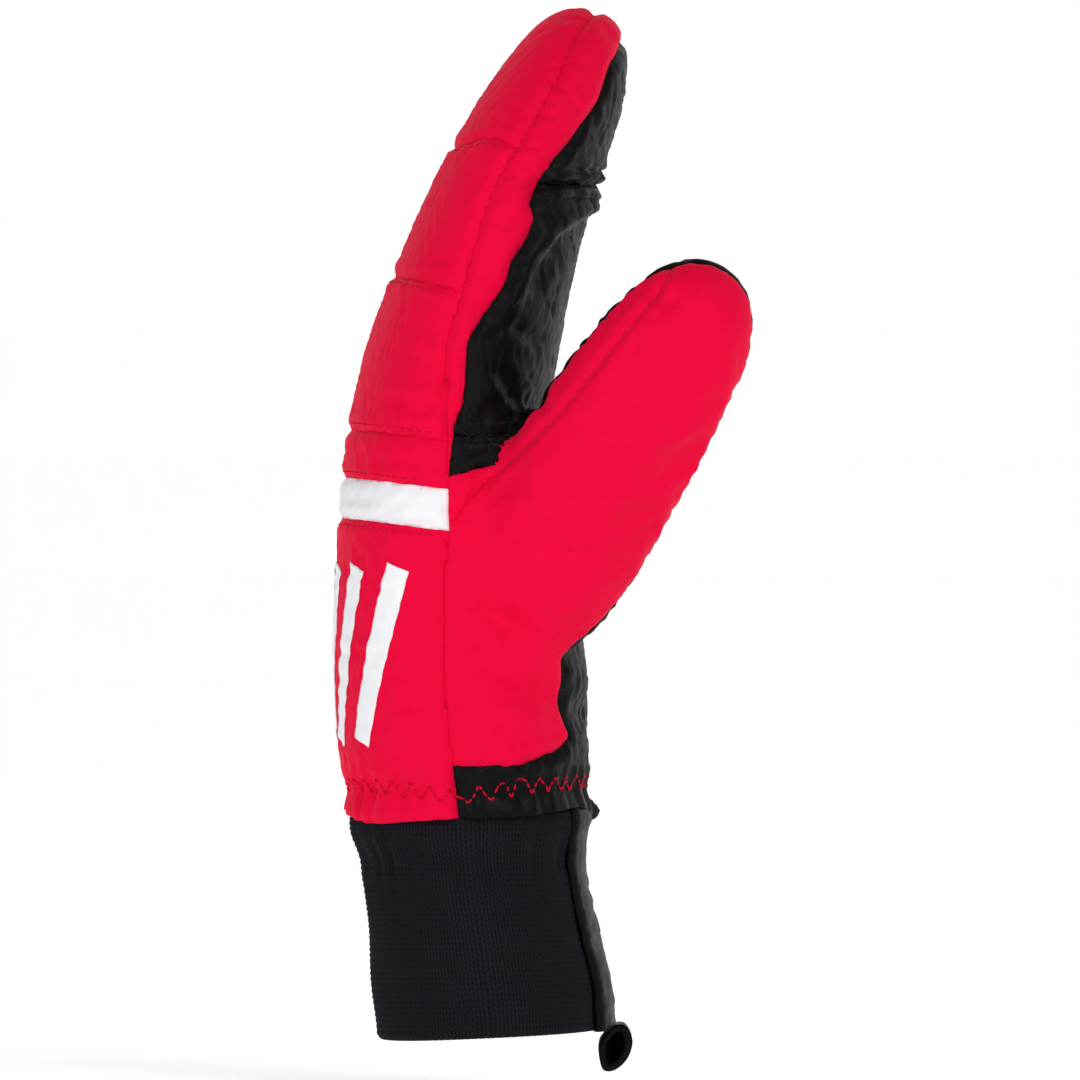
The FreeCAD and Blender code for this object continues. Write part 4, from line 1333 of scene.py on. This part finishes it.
# Each row on the back: the seam it runs beside, and how far above it.
BACK_ROWS = (
    (tip_line, -1.8),
    (lambda p: level(p, MIDDLE_SEAM), -1.8),
    (lambda p: level(p, KNUCKLE_SEAM), 1.8),
    (lambda p: level(p, STRIPE_TOP), 1.7),
    (lambda p: level(p, STRIPE_FOOT), -1.7),
)
red_rows, black_rows = bmesh.new(), bmesh.new()
for number, offset in BACK_ROWS:
    sew(red_rows, seam_row(number, offset, 40, 209, inside_back), 2.7)
for number in (lambda p: level(p, GATHER), lambda p: level(p, KNUCKLE)):
    for offset in (-3.0, 0.0, 3.0):
        sew(black_rows, seam_row(number, offset, 60, 200, inside_palm), 2.4)


# %% Zigzag thread at the wrist
CORNERS, ZIGZAG_HALF = 72, 2.0  # corners round the wrist, and half the zigzag's height
STITCHES_A_LEG, LEG_GAP = 3, 0.12


def zigzag_line():
    """Corners of the zigzag over the elastic, rising from the side seam towards the palm."""
    corners = []
    for i in range(CORNERS + 1):
        angle = math.pi * 2 * i / CORNERS
        p = pocket_point(angle, 0.0)
        middle = np.interp(p[0], [-30, -7, 15, 28], [1.5, -1.2, 2.0, 2.5])
        corners.append(pocket_point(angle, middle + (ZIGZAG_HALF if i % 2 else -ZIGZAG_HALF)))
    return np.array(corners)


zigzag = bmesh.new()
for a, b in zip(zigzag_line(), zigzag_line()[1:]):
    leg = (b - a) / STITCHES_A_LEG
    for i in range(STITCHES_A_LEG):
        start, n = on_shell(a + leg * (i + LEG_GAP))
        end, _ = on_shell(a + leg * (i + 1 - LEG_GAP))
        add_stitch(zigzag, start, end, n, 0.3)
THREADS = (
    ("thread.topstitch", red_rows, RED_THREAD, "red_thread", [], {"bend": FINGER_BEND}),
    ("thread.shirring", black_rows, BLACK_THREAD, "black_leather", [], {"bend": FINGER_BEND}),
    ("thread.zigzag", zigzag, RED_THREAD, "red_thread", ["wrist_zigzag_thread"], {"body": "hand"}),
)
for name, bm, material, slot, nodes, moves in THREADS:
    bmesh.ops.scale(bm, vec=(MM, MM, MM), verts=bm.verts)
    thread = settle(as_object(bm, name), material, slot, nodes, **moves)
    print(name, len(thread.data.polygons), "faces")

# %% [markdown]
# ## Studio
#
# The mitten is shown from its thumb side, from far away with a long lens, on a pale sweep. A big
# soft light from the front and above keeps the folds readable, a second one opens the shadows,
# and a low one draws the light line down the edge of the leather.

# %% Floor, lights and camera
sweep = bmesh.new()
bmesh.ops.create_grid(sweep, x_segments=1, y_segments=1, size=1)
FLOOR_Z, SWEEP_START, SWEEP_RADIUS = -0.081, 1.2, 0.8
corners = ((-4, -4), (4, -4), (-4, SWEEP_START), (4, SWEEP_START))
for v, (x, y) in zip(sweep.verts, corners):
    v.co = (x, y, FLOOR_Z)
back_edge = [e for e in sweep.edges if all(v.co.y > 1 for v in e.verts)]
centre = (0, SWEEP_START, FLOOR_Z + SWEEP_RADIUS)
bmesh.ops.spin(
    sweep, geom=back_edge, cent=centre, axis=(1, 0, 0), angle=math.pi / 2, steps=16
)
top_edge = [e for e in sweep.edges if all(v.co.z > 0.70 for v in e.verts)]
raised = bmesh.ops.extrude_edge_only(sweep, edges=top_edge)["geom"]
for v in raised:
    if isinstance(v, bmesh.types.BMVert):
        v.co.z += 3
floor = as_object(sweep, "sweep")
paper = bpy.data.materials.new("paper")
paper.use_nodes = True
PAPER_LOOK = {
    "Base Color": (0.93, 0.93, 0.93, 1),
    "Roughness": 0.9,
    "Emission Color": (1, 1, 1, 1),
    "Emission Strength": 0.47,
}
for key, value in PAPER_LOOK.items():
    paper.node_tree.nodes["Principled BSDF"].inputs[key].default_value = value
floor.data.materials.append(paper)


def soft_light(name, place, towards, size, power):
    """A square area light, turned towards a point."""
    lamp = bpy.data.lights.new(name, "AREA")
    lamp.size, lamp.energy = size, power
    obj = bpy.data.objects.new(name, lamp)
    bpy.context.scene.collection.objects.link(obj)
    obj.location = place
    obj.rotation_euler = (Vector(towards) - Vector(place)).to_track_quat("-Z", "Y").to_euler()


soft_light("key", (0.9, -1.6, 1.3), (0, 0, 0.06), 0.9, 21)
soft_light("fill", (-1.5, -1.5, 0.7), (0, 0, 0.06), 1.4, 17)
soft_light("edge", (1.4, 0.5, 0.4), (0, 0, 0.05), 0.7, 2)
world = bpy.data.worlds.new("studio")
bpy.context.scene.world = world
world.use_nodes = True
world.node_tree.nodes["Background"].inputs["Color"].default_value = (1, 1, 1, 1)
world.node_tree.nodes["Background"].inputs["Strength"].default_value = 0.12
camera_data = bpy.data.cameras.new("camera")
camera_data.lens, camera_data.sensor_width = 432, 36
camera = bpy.data.objects.new("camera", camera_data)
bpy.context.scene.collection.objects.link(camera)
camera.location = (0.0143, -3.5, 0.0675)
camera.rotation_euler = (math.pi / 2, 0, 0)
bpy.context.scene.camera = camera
bpy.context.scene.view_settings.view_transform = "Standard"
